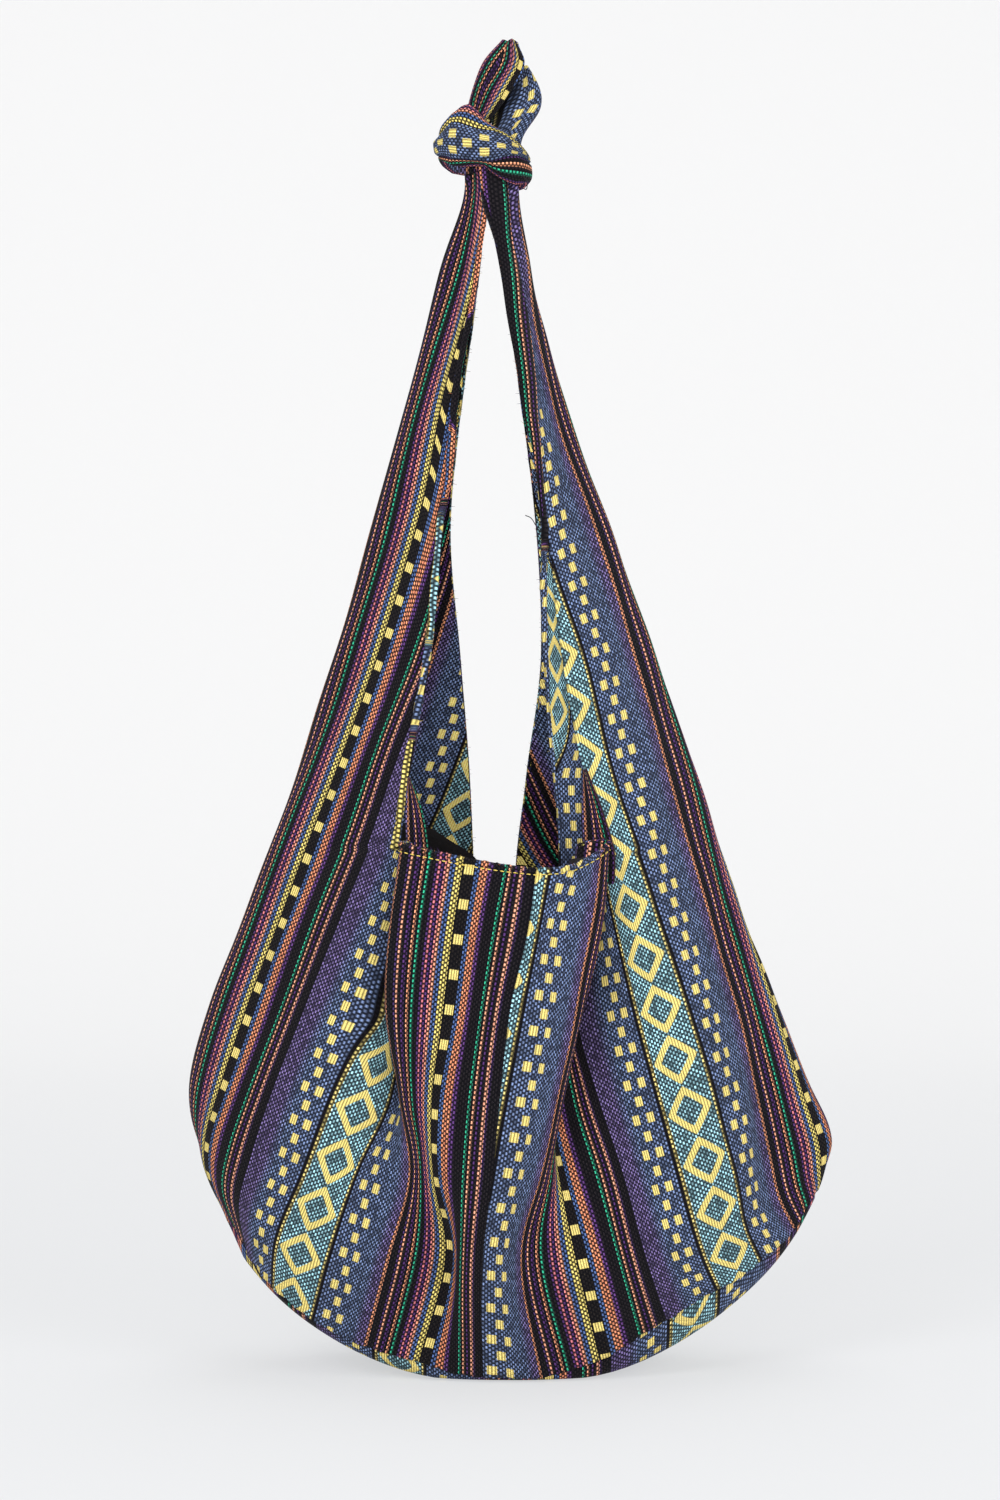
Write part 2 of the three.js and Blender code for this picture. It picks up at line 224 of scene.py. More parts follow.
def colour_ramp(tree, place, stops, interpolation):
    """Colours by place, from stops of a place and a colour in rising order."""
    node = add_node(tree, "ShaderNodeValToRGB", inputs={"Fac": place})
    node.color_ramp.interpolation = interpolation
    elements = node.color_ramp.elements
    for number, (position, colour) in enumerate(stops):
        stop = elements[number] if number < 2 else elements.new(position)
        stop.position = position
        stop.color = linear(colour)
    return node.outputs["Color"]


weave_map = Field("ShaderNodeUVMap", {"uv_map": "weave"}, {})
across, along = (Field("ShaderNodeSeparateXYZ", {}, {0: weave_map}, axis) for axis in ("X", "Y"))
in_repeat = across.math("FRACT")
yarn = across * YARNS
pick = along * PICKS
unit = in_repeat * UNITS
run = along * UNITS

# A colour ramp holds 32 stops at most, so two of them share the stripes
SHARED_STRIPE = 19
stripe_stops = [(first_yarn / YARNS, colour) for first_yarn, colour in STRIPES]
stripe = blend(
    in_repeat.math("GREATER_THAN", stripe_stops[SHARED_STRIPE][0]),
    colour_ramp(weave_tree, in_repeat.socket, stripe_stops[:SHARED_STRIPE + 1], "CONSTANT"),
    colour_ramp(weave_tree, in_repeat.socket, stripe_stops[SHARED_STRIPE:], "CONSTANT"))

# Both sides of the pattern mirror at one line, and purple turns to blue away from it, sooner on the left
MIRROR = 173
DUSK_BAND, DUSK_REACH, DUSK_SOONER = 75, 14, 12
DUSK_START, DUSK_END = 78, 92
from_middle = abs(unit - MIRROR)
dusk_from = from_middle + unit.math("LESS_THAN", MIRROR) * DUSK_SOONER
dusk_share = band(from_middle, DUSK_BAND, DUSK_REACH, 0.5) * ease(dusk_from, DUSK_START, DUSK_END)
ground = blend(dusk_share, stripe, linear("8aa0d0"))

# Single squares and pairs take turns along the two check bands, and one column runs along the mirror
CHECK_BAND, CHECK_START, CHECK_STEP = 104, -3.0, 17.25
PAIR_OFF = 7.2
COLUMN_BAND, COLUMN_START, COLUMN_SHIFT, COLUMN_STEP = 174.9, 19, 18, 16.9
SQUARE_HALF_WIDTH, COLUMN_HALF_WIDTH, SQUARE_HALF_LENGTH = 3.5, 4.3, 4.8


def squares(place, middle, half_width, step, turn):
    """1 on the squares of a column, which come where the step along it is at their turn."""
    return band(place, middle, half_width, 0.35) * band(step, turn, SQUARE_HALF_LENGTH, 0.4)


in_check = abs(from_middle - CHECK_BAND)
check_step = (run + CHECK_START).math("PINGPONG", CHECK_STEP)
pair_squares = squares(in_check, PAIR_OFF, SQUARE_HALF_WIDTH, check_step, 0)
one_square = squares(in_check, 0, SQUARE_HALF_WIDTH, check_step, CHECK_STEP)
column_start = across.math("FLOOR") * COLUMN_SHIFT + COLUMN_START
column_step = (run + column_start).math("PINGPONG", COLUMN_STEP)
column_square = squares(unit, COLUMN_BAND, COLUMN_HALF_WIDTH, column_step, 0)

# Diamonds with slightly bulging sides stand point to point along their band
DIAMOND_BAND, DIAMOND_BAND_REACH = 25, 23
DIAMOND_HALF_WIDTH, DIAMOND_HALF_LENGTH = 20.5, 24.5
DIAMOND_START, DIAMOND_STEP = -15.0, 25.5
DIAMOND_POWER = 1.1
DIAMOND_LINE, DIAMOND_LINE_REACH, DIAMOND_HEART = 0.81, 0.18, 0.59
diamond_side = abs(unit - DIAMOND_BAND) / DIAMOND_HALF_WIDTH
diamond_way = (run + DIAMOND_START).math("PINGPONG", DIAMOND_STEP) / DIAMOND_HALF_LENGTH
diamond_reach = (diamond_side**DIAMOND_POWER + diamond_way**DIAMOND_POWER) ** (1 / DIAMOND_POWER)
diamond_band = band(unit, DIAMOND_BAND, DIAMOND_BAND_REACH, 0.5)
diamond_line = band(diamond_reach, DIAMOND_LINE, DIAMOND_LINE_REACH, 0.03) * diamond_band
diamond_heart = ease(diamond_reach, DIAMOND_HEART + 0.03, DIAMOND_HEART - 0.03) * diamond_band
gold = pair_squares
for gold_shape in (one_square, column_square, diamond_line):
    gold = gold.math("MAXIMUM", gold_shape)

# Each warp yarn shows as a row of dashes between the dark weft, and neighbours take turns. Each dash
# is painted lighter at its crown and darker towards its sides, as painted shade of the round yarn.
DASH_END, DASH_FULL = 0.38, 0.20
yarn_number = yarn.math("FLOOR")
yarn_crown = (yarn.math("FRACT") * math.pi).math("SINE")
beat = pick * 0.5 + yarn_number.math("FLOORED_MODULO", 2) * 0.5
crown = ease(abs(beat.math("FRACT") - 0.5), DASH_END, DASH_FULL) * yarn_crown
dash_number = Field("ShaderNodeCombineXYZ", {}, {0: yarn_number, 1: beat.math("FLOOR")})
chance = Field("ShaderNodeTexWhiteNoise", {"noise_dimensions": "2D"}, {"Vector": dash_number})

# The ground is uneven and dark, its diamonds are lighter, and the lines are brighter. The cloth is worn
# in patches, and its wrong side is painted paler, as painted light falling inside the bag.
GROUND_FROM, DIAMONDS_FROM = 61, 123
WORN, INSIDE_PAINTED_LIGHT, LIGHTER_DIAMONDS, DARKER_HEART = 0.36, 1.1, 0.35, 0.25
worn = Field("ShaderNodeTexNoise", {"noise_dimensions": "2D"}, {
    "Vector": weave_map, "Scale": 7.0, "Detail": 3.0})
wrong_side = Field("ShaderNodeAttribute", {"attribute_name": "wrong_side"}, {}, "Fac")
# Random worn patches, times painted light on the inner faces
wear_and_inside_light = (worn * WORN + (1 - WORN / 2)) * (wrong_side * INSIDE_PAINTED_LIGHT + 1)
in_ground = ease(from_middle, GROUND_FROM - 1, GROUND_FROM + 1)
in_diamonds = ease(from_middle, DIAMONDS_FROM - 1, DIAMONDS_FROM + 1)
diamond_tone = (in_diamonds * LIGHTER_DIAMONDS + 1) * (diamond_heart * -DARKER_HEART + 1)
ground_dash = crown**1.7 * (chance * 0.74 + 0.14) * diamond_tone
line_dash = crown**1.3 * (chance * 0.42 + 0.64)
shown = line_dash + (ground_dash - line_dash) * in_ground
dark_weft = blend(0.045, linear("08070d"), ground)
# The crown of each dash is lifted further still, a painted highlight
yarn_with_painted_highlight = scaled(blend(shown * wear_and_inside_light, dark_weft, ground), crown**3.0 * 0.35 + 1.0)
# The gold floats are painted darker towards the sides of each yarn, painted shade between the yarns
gold_yarn = scaled(linear("f9e286")[:3], (yarn_crown**1.3 * 0.84 + 0.26) * wear_and_inside_light)
weave_height = crown + gold * (yarn_crown * 0.5 + 0.6)
weave_bump = Field("ShaderNodeBump", {}, {"Strength": 0.7, "Distance": 0.0005, "Height": weave_height})
weave_tree.links.new(blend(gold, yarn_with_painted_highlight, gold_yarn).socket, weave_shader.inputs["Base Color"])
weave_tree.links.new(weave_bump.socket, weave_shader.inputs["Normal"])

# Left half. One piece of the striped cloth from the centre-front seam round the left side to the
# centre-back seam, which narrows upward into the left strap, passes the knot and ends in a tail.
# Each rail is one warp line of the cloth: x, y, z in mm and the place in the stripe pattern.
MM = 0.001
CLOTH = 0.0014
SEAM_GAP = 0.0004
HEM_LEVEL = 6
BODY_ROWS = 20
STRAP_ROWS = 14
COLUMNS = 10
STRAP_FROM = 6
SWELL, SWELL_WAVES, SWELL_LENGTHS, SWELL_SLANT = 0.0006, 9, (0.022, 0.075), 0.6
PLEAT, PLEATS, GATHER_START, GATHER_LENGTH = 0.0013, 6.5, 1.5, 4.5
LOOSE_FOLD, LOOSE_FOLDS, FOLD_SWAY = 0.0055, 2.6, 0.30
CREASE, CREASES_ACROSS, CREASES_UP = 0.0018, 1.7, 2.2
PUCKER, PUCKER_LENGTH, PUCKER_ROWS = 0.0006, 0.013, 5.0
EDGE_ROUNDING = 0.45
HEM_SIDES = 10
HEM_ROWS = 86
HEM_LAP = 0.75
HEM_WOBBLE, HEM_TREMBLE, HEM_LUMP = 0.10, 0.08, 0.12
MOUTH_HEM = 0.0013
MOUTH_HEM_ROW = -4
MOUTH_RIPPLE, MOUTH_RIPPLE_STEP = 0.0006, 1.7
MOUTH_COLUMNS = STRAP_FROM * COLUMNS + 1
FRONT_SEAM = [(-15, -50, 2.6), (-15, -74, 68), (-10, -80, 110), (-6.5, -82, 150), (-1, -82, 195),
              (9, -80, 240), (13, -77, 270)]
BACK_SEAM = [(-15, 50, 2.6), (-12, 72, 68), (-8, 78, 110), (-5, 80, 150), (-3, 77, 195), (-6, 70, 240),
             (-8, 62, 258)]


def rail(points, pattern):
    """One warp line in metres. The pattern is one number for the whole line or one for each point."""
    places = np.full(len(points), pattern, float) if np.isscalar(pattern) else np.array(pattern, float)
    return np.column_stack([np.array(points, float) * MM, places])


def follow(stations, at):
    """Points of a smooth line through stations, at places counted in stations."""
    ends = np.vstack([2 * stations[:1] - stations[1:2], stations, 2 * stations[-1:] - stations[-2:-1]])
    part = np.clip(np.floor(at).astype(int), 0, len(stations) - 2)
    s = (at - part)[:, None]
    a, b, c, d = (ends[part + k] for k in range(4))
    ab, bc, cd = (
        np.sqrt(np.maximum(np.linalg.norm((q - p)[:, :3], axis=1), 1e-8))[:, None]
        for p, q in ((a, b), (b, c), (c, d)))
    out = ((b - a) / ab - (c - a) / (ab + bc) + (c - b) / bc) * bc
    back = ((c - b) / bc - (d - b) / (bc + cd) + (d - c) / cd) * bc
    return b + s * out + s**2 * (3 * (c - b) - 2 * out - back) + s**3 * (2 * (b - c) + out + back)


def half_rails(front, side, back_hem, shift, front_pattern, turn):
    """All rails of one half, from the centre-front seam round the side to the centre-back seam."""
    seam = rail([(x + shift, y, z) for x, y, z in FRONT_SEAM], front_pattern)
    back_seam = rail([(x + shift, y, z) for x, y, z in BACK_SEAM], 0)
    hem = rail(back_hem, 0)
    fronts = [seam, *front]
    count = len(fronts)
    angles = np.sqrt(np.arange(count) / count) * (math.pi / 2)

    def on_ellipse(start, end, angle):
        fall = 1 - math.cos(angle)
        share = np.array([fall, math.sin(angle), fall**2])
        return start[:3] + (end[:3] - start[:3]) * share

    backs = []
    for index in range(1, count):
        low = fronts[count - index][0]
        line = [np.array([low[0], -low[1], low[2]])]
        line += [on_ellipse(side[k], back_seam[k], angles[index]) for k in range(1, HEM_LEVEL + 1)]
        rise = angles[index] / angles[-1] * (math.pi / 2)
        line += [on_ellipse(side[HEM_LEVEL + 1 + k], hem[k], rise) for k in range(len(hem))]
        backs.append(np.column_stack([np.array(line), np.zeros(len(line))]))
    backs.append(back_seam)
    last = side
    for line in backs:
        steps = np.linalg.norm(line[:, :3] - last[:len(line), :3], axis=1)
        line[:, 3] = last[:len(line), 3] + turn * steps / UNIT
        last = line
    return [*fronts, side, *backs]


def net_over(lines):
    """A grid of points over lines that lie side by side, row by row: x, y, z and pattern place."""
    columns = np.arange((len(lines) - 1) * COLUMNS + 1) / COLUMNS
    return np.stack([follow(np.array(row), columns) for row in zip(*lines)])


def net(rails, levels):
    """A grid of points over rails, one row for each level."""
    return net_over([follow(line, levels) for line in rails])


def numbered(grid):
    """The number of each point of a grid, row by row."""
    return np.arange(grid.shape[0] * grid.shape[1]).reshape(grid.shape[:2])


def grid_faces(index):
    """Faces between neighbours in a grid of point numbers."""
    quads = np.stack([index[:-1, :-1], index[1:, :-1], index[1:, 1:], index[:-1, 1:]], axis=-1)
    return quads.reshape(-1, 4)


def way_along(points, axis=0):
    """The way from the start of each line of points to each of its points."""
    steps = np.diff(points, axis=axis, prepend=np.take(points, [0], axis=axis))
    return np.cumsum(np.linalg.norm(steps, axis=-1), axis=axis)


def directions(vectors):
    """Vectors made one long."""
    return vectors / np.maximum(np.linalg.norm(vectors, axis=1), 1e-12)[:, None]


def outward(points, faces):
    """Unit normals of a net's points."""
    a, b, c, d = (points[faces[:, k]] for k in range(4))
    face_normals = np.cross(c - a, d - b)
    sums = np.zeros_like(points)
    for k in range(4):
        np.add.at(sums, faces[:, k], face_normals)
    return directions(sums)


def weave_place(stripes, runs):
    """Places in the weave map, from weave units across the yarns and metres along them."""
    return np.stack(np.broadcast_arrays(stripes / UNITS, runs / REPEAT), axis=-1)


def half_cloth(rails, reverse):
    """One half before it gets its wrinkles: points, stripes, runs along the yarns and faces, and the
    point numbers of its body and of its strap."""
    body = net(rails, np.linspace(0, HEM_LEVEL, HEM_LEVEL * BODY_ROWS + 1))
    strap_rails = rails[STRAP_FROM:len(rails) - 1]
    top = len(strap_rails[0]) - 1
    strap = net(strap_rails, np.linspace(HEM_LEVEL, top, (top - HEM_LEVEL) * STRAP_ROWS + 1))[1:]
    body_index = numbered(body)
    first = STRAP_FROM * COLUMNS
    hem = body_index[-1, first:first + strap.shape[1]]
    strap_index = np.vstack([hem, body_index.size + numbered(strap)])
    table = np.vstack([body.reshape(-1, 4), strap.reshape(-1, 4)])
    points = table[:, :3]
    faces = np.vstack([grid_faces(body_index), grid_faces(strap_index)])
    runs = np.zeros(len(points))
    middle = HEM_LEVEL // 2 * BODY_ROWS
    climbed = way_along(points[body_index])
    rise = directions(points[body_index[middle + 1]] - points[body_index[middle - 1]])
    steps = np.diff(points[body_index[middle]], axis=0)
    lean = np.concatenate([[0], np.cumsum((steps * (rise[1:] + rise[:-1]) / 2).sum(axis=1))])
    runs[body_index] = climbed - climbed[middle] + lean
    runs[strap_index] = runs[hem] + way_along(points[strap_index])
    return SimpleNamespace(
        points=points, stripes=table[:, 3], runs=runs, faces=faces[:, ::-1] if reverse else faces,
        body=body_index, strap=strap_index)


def flap(rails, reverse):
    """A turned-in fold of a half: its points, weave places and faces."""
    levels = len(rails[0]) - 1
    sheet = net(rails, np.linspace(0, levels, levels * STRAP_ROWS + 1))
    runs = way_along(sheet[..., :3]).mean(axis=1)
    places = weave_place(sheet[..., 3], runs[:, None])
    faces = grid_faces(numbered(sheet))
    return sheet[..., :3].reshape(-1, 3), places.reshape(-1, 2), faces[:, ::-1] if reverse else faces


def joined(cloth, *flaps):
    """A half and its flaps as one set of points, weave places and faces."""
    sheets = [(cloth.points, weave_place(cloth.stripes, cloth.runs), cloth.faces), *flaps]
    shifts = np.cumsum([0] + [len(sheet[0]) for sheet in sheets[:-1]])
    return (np.vstack([sheet[0] for sheet in sheets]), np.vstack([sheet[1] for sheet in sheets]),
            np.vstack([sheet[2] + shift for sheet, shift in zip(sheets, shifts)]))


def soft_waves(place, run, seed, height):
    """Small uneven swells of soft cloth, in metres, from a few crossing waves."""
    rng = np.random.default_rng(seed)
    total = np.zeros(len(place))
    for _ in range(SWELL_WAVES):
        size = rng.uniform(*SWELL_LENGTHS)
        heading = rng.uniform(-SWELL_SLANT, SWELL_SLANT)
        phase = rng.uniform(0, 2 * math.pi)
        total += np.sin((math.cos(heading) * place + math.sin(heading) * run) * 2 * math.pi / size + phase)
    return total * height / math.sqrt(SWELL_WAVES)


def add_wrinkles(cloth, seed):
    """Moves the points of a half: swells, loose folds down the back, gathers towards the knot and
    puckers along the base seam."""
    points, body, strap = cloth.points, cloth.body, cloth.strap
    move = soft_waves(cloth.stripes * UNIT, cloth.runs, seed, SWELL)
    rows = np.arange(strap.shape[0])[:, None] / STRAP_ROWS
    share = np.linspace(0, 1, strap.shape[1])[None, :]
    gather = np.clip((rows - GATHER_START) / GATHER_LENGTH, 0, 1) ** 1.5
    pleats = np.sin(share * 2 * math.pi * PLEATS + 0.6 * np.sin(rows * 1.3 + seed))
    move[strap] += PLEAT * gather * pleats
    behind = np.clip(np.linspace(-1, 1, body.shape[1]), 0, 1)[None, :]
    up = np.linspace(0, 1, body.shape[0])[:, None]
    loose = np.sin(math.pi * behind) ** 0.8 * np.sin(math.pi * up) ** 0.8
    sway = FOLD_SWAY * np.sin(2.4 * up + seed)
    falls = (0.5 - 0.5 * np.cos(2 * math.pi * (LOOSE_FOLDS * behind + sway))) ** 1.6
    slant = CREASES_ACROSS * behind + CREASES_UP * up
    creases = (0.5 + 0.5 * np.sin(2 * math.pi * slant + seed)) ** 3
    move[body] += loose * (LOOSE_FOLD * falls + CREASE * creases)
    fade = np.exp(-np.arange(body.shape[0]) / PUCKER_ROWS)[:, None]
    move[body] += PUCKER * fade * np.sin(way_along(points[body[0]]) * 2 * math.pi / PUCKER_LENGTH)
    cloth.points = points + outward(points, cloth.faces) * move[:, None]


def even_stripes(cloth, first_column, bend):
    """Spreads the stripes between two rails of a half evenly over the cloth, or closer to the second
    rail where the bend is over 0."""
    at = cloth.body[:, first_column:first_column + COLUMNS + 1]
    way = way_along(cloth.points[at], axis=1)
    way /= way[:, -1:]
    ends = cloth.stripes[at[:, [0, -1]]]
    cloth.stripes[at] = ends[:, :1] + (ends[:, 1:] - ends[:, :1]) * (way * (1 - bend) + bend * way**2)


def cloth_object(name, points, faces, corner_places, material):
    """A smooth mesh with the weave place of each corner of its faces."""
    mesh = bpy.data.meshes.new(name)
    mesh.from_pydata(points.tolist(), [], faces)
    layer = mesh.uv_layers.new(name="weave")
    layer.data.foreach_set("uv", corner_places.reshape(-1).astype(np.float32))
    mesh.shade_smooth()
    mesh.materials.append(material)
    piece = bpy.data.objects.new(name, mesh)
    scene.collection.objects.link(piece)
    return piece


def cloth_piece(name, points, place, faces, thickness, inner_shift, material):
    """A sheet with a thickness and rounded edges, and its weave map. The inner face has its own place
    in the pattern."""
    count = len(points)
    normals = outward(points, faces)
    inner = points - normals * thickness
    starts = faces.reshape(-1)
    ends = np.roll(faces, -1, axis=1).reshape(-1)
    border = ~np.isin(starts * count + ends, ends * count + starts)
    starts, ends = starts[border], ends[border]
    ways = directions(np.cross(points[ends] - points[starts], normals[starts]))
    leave = np.zeros_like(points)
    np.add.at(leave, starts, ways)
    np.add.at(leave, ends, ways)
    edge_points = np.unique(starts)
    leave = directions(leave[edge_points])
    middle = (points[edge_points] + inner[edge_points]) / 2 + leave * thickness * EDGE_ROUNDING
    number = np.zeros(count, int)
    number[edge_points] = 2 * count + np.arange(len(edge_points))
    rim = np.column_stack([ends, starts, number[starts], number[ends]])
    rim_in = np.column_stack([number[ends], number[starts], starts + count, ends + count])
    all_faces = np.vstack([faces, (faces + count)[:, ::-1], rim, rim_in])
    own = np.concatenate([np.arange(count), np.arange(count), edge_points])
    corner_places = place[own[all_faces]]
    corner_places[len(faces):2 * len(faces)] += np.array(inner_shift)
    piece = cloth_object(
        name, np.vstack([points, inner, middle]), all_faces.tolist(), corner_places, material)
    # The inner faces are marked so that the weave can paint light on them
    inside = piece.data.attributes.new("wrong_side", "FLOAT", "FACE")
    inside.data.foreach_set("value", np.repeat([0.0, 1.0, 0.0], [len(faces), len(faces), 2 * len(rim)]))
    return piece


def rolled_hem(name, edge, into_cloth, radius, lap, stripes, runs):
    """A soft roll of turned cloth along an edge, which laps over the cloth by a share of its radius.
    Stripes and runs give its weave map, point by point."""
    ahead = directions(np.gradient(edge, axis=0))
    side = directions(into_cloth - ahead * (into_cloth * ahead).sum(axis=1)[:, None])
    up = np.cross(ahead, side)
    turn = np.arange(HEM_SIDES) * 2 * math.pi / HEM_SIDES
    step = np.arange(len(edge))
    wobble = 1 + HEM_WOBBLE * np.sin(step * 0.9 + 0.7) + HEM_TREMBLE * np.sin(step * 2.3)
    reach = (radius * wobble)[:, None] * (1 + HEM_LUMP * np.sin(3 * turn + step[:, None] * 0.35))
    ring = np.cos(turn)[:, None] * side[:, None, :] + np.sin(turn)[:, None] * up[:, None, :]
    points = (edge + side * (radius * lap)[:, None])[:, None, :] + ring * reach[..., None]
    index = numbered(points)
    quads = grid_faces(np.pad(index, ((0, 0), (0, 1)), mode="wrap"))
    caps = [index[0].tolist(), index[-1, ::-1].tolist()]
    place = weave_place(stripes, runs)
    corners = place.reshape(-1, 2)[grid_faces(numbered(place))].reshape(-1, 2)
    cap_places = np.vstack([place[0, :-1], place[-1, :-1][::-1]])
    piece = cloth_object(
        name, points.reshape(-1, 3), quads.tolist() + caps, np.vstack([corners, cap_places]), weave)
    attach(piece, "root")
    return piece


def strap_edge(cloth, column, inner_column):
    """One edge of a strap, and the way from it into the cloth."""
    edge = cloth.points[cloth.strap[:HEM_ROWS, column]]
    return edge, cloth.points[cloth.strap[:HEM_ROWS, inner_column]] - edge


def strap_hem(name, edge, into_cloth, radius_at, stripe_at, turn_at, lap_at=((0, HEM_LAP), (1, HEM_LAP))):
    """The rolled edge of a strap. Its radius, its first stripe, how much of the weave goes round it
    and its lap are tables of height in mm and value."""
    radius, first, turn, lap = (
        np.interp(edge[:, 2] / MM, *zip(*table)) for table in (radius_at, stripe_at, turn_at, lap_at))
    radius = radius * MM
    around = np.linspace(0, 1, HEM_SIDES + 1)
    stripes = first[:, None] + around * (turn * 2 * math.pi * radius / UNIT)[:, None]
    return rolled_hem(name, edge, into_cloth, radius, lap, stripes, way_along(edge)[:, None])


def mouth_hem(name, cloth):
    """The rolled upper edge of a half's front, with the stripes running over it."""
    at = cloth.body[-1, :MOUTH_COLUMNS]
    edge = cloth.points[at]
    into_cloth = cloth.points[cloth.body[MOUTH_HEM_ROW, :MOUTH_COLUMNS]] - edge
    runs = cloth.runs[at][:, None] + np.linspace(0, 2 * math.pi * MOUTH_HEM, HEM_SIDES + 1)
    edge[:, 2] += MOUTH_RIPPLE * np.sin(np.arange(MOUTH_COLUMNS) * MOUTH_RIPPLE_STEP)
    radius = np.full(MOUTH_COLUMNS, MOUTH_HEM)
    return rolled_hem(name, edge, into_cloth, radius, HEM_LAP, cloth.stripes[at][:, None], runs)


left_front = [
    rail([(-28.5, -50, 4.2), (-27, -71, 68), (-26, -79, 110), (-23, -81, 150), (-17, -81, 195),
          (-10, -79, 240), (-4, -76, 272)], 207),
    rail([(-46, -49, 10), (-32, -58, 68), (-40, -71, 110), (-40, -77, 150), (-33, -78, 195),
          (-27, -77, 240), (-21.5, -74, 275)], 174),
    rail([(-77, -46, 18), (-64, -61, 68), (-53, -61, 110), (-58, -63, 150), (-65, -67, 195),
          (-63, -68, 240), (-57, -66, 283)], 113),
    rail([(-95.5, -43, 26), (-84, -57, 68), (-72, -59, 110), (-57, -50, 150), (-57, -54, 195),
          (-56, -56, 240), (-54, -55, 283)], 69),
    rail([(-117, -37, 39), (-111, -50, 68), (-94, -59, 110), (-77, -58, 150), (-58, -49, 195),
          (-48, -44, 240), (-44, -42, 278)], 25),
    rail([(-132.6, -26, 52), (-131, -42, 80), (-119, -52, 112), (-106, -57, 150), (-88, -58, 195),
          (-71, -56, 240), (-60, -54, 279), (-54, -51, 320), (-43, -41, 380), (-36.5, -30, 450),
          (-31, -21, 520), (-18, -15, 590), (-13, -12, 632), (-15.5, -9, 661), (-1, -11, 684),
          (7, -9, 701), (3, -7, 713)],
         [-19, -19, -19, -19, -19, -21, -27, -40, -68, -98, -114, -128, -132, -118, -116, -114, -114]),
    rail([(-150, -8, 76), (-160, -16, 103), (-161, -23, 125), (-154, -29, 150), (-138, -28, 195),
          (-122, -27, 240), (-108, -26, 277), (-91, -29, 320), (-70, -27, 380), (-50, -25, 450),
          (-40, -18, 520), (-26, -13, 590), (-20, -10, 632), (-22, -7, 661), (-17, -10, 684),
          (-7, -10, 701), (-2, -7, 713)],
         [-100, -112, -120, -122, -122, -122, -122, -122, -122, -124, -136, -150, -154, -163, -165, -165,
          -160]),
]
left_side = rail(
    [(-154, 0, 80), (-161, 0, 97), (-169, 0, 118), (-173.3, 0, 150), (-162.5, 0, 195), (-145, 0, 240),
     (-132, 0, 275), (-116, 0, 320), (-96, 0, 380), (-75.5, 0, 450), (-56.5, 0, 520), (-38.5, 0, 590),
     (-25, 0, 632), (-25, 0, 661), (-21, -2, 684), (-15.5, -4, 701), (-4, -4, 713)],
    [-125, -140, -165, -185, -185, -185, -185, -185, -185, -184, -181, -182, -180, -138, -134, -134, -134])
left_back_hem = [
    (-23.5, 45, 320), (-28, 38, 380), (-33.5, 30, 450), (-27, 22, 520), (-17.5, 15, 590), (-14, 12, 632),
    (-15.5, 9, 661), (-4, 6, 684), (7, 4, 701), (3, 0, 713)]
left_rails = half_rails(left_front, left_side, left_back_hem, -SEAM_GAP / MM, 236, -1)
left_cloth = half_cloth(left_rails, False)
add_wrinkles(left_cloth, 3)
even_stripes(left_cloth, 2 * COLUMNS, 0)
left_ear = flap([
    rail([(-43, -51, 262), (-43.5, -51, 278), (-46.5, -51, 298), (-53, -51.4, 317)], 140),
    rail([(-49, -53.5, 262), (-49, -53.5, 278), (-50.5, -53, 298), (-53.6, -52, 317)], 126),
    rail([(-54.5, -53.5, 262), (-54.5, -53.5, 278), (-54.8, -53, 298), (-54.2, -52, 317)], 110),
], False)
left_panel = cloth_piece("left_half", *joined(left_cloth, left_ear), CLOTH, (0.43, 0.2), weave)
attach(left_panel, "root")
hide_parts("left_panel")
left_edge, left_way = strap_edge(left_cloth, 0, 4)
left_back_edge, left_back_way = strap_edge(left_cloth, -1, -5)
left_hems = [
    strap_hem("left_strap_hem", left_edge, left_way,
              [(280, 2.0), (340, 2.1), (460, 1.9), (500, 2.1), (560, 1.6), (640, 1.3)],
              [(280, 162), (338, 165), (342, 66), (385, 60), (389, 0.5), (400, 0.5), (408, 2), (458, 2),
               (462, -118), (500, -117), (508, -99), (560, -99), (566, -111), (640, -111)],
              [(458, 0.45), (462, 1)], [(455, 0.75), (475, -0.8), (560, -0.8), (600, 0.2)]),
    strap_hem("left_back_hem", left_back_edge, left_back_way,
              [(280, 0.9), (640, 1.1)], [(280, 12), (640, 40)], [(280, 1), (640, 1)]),
    mouth_hem("left_mouth_hem", left_cloth),
]

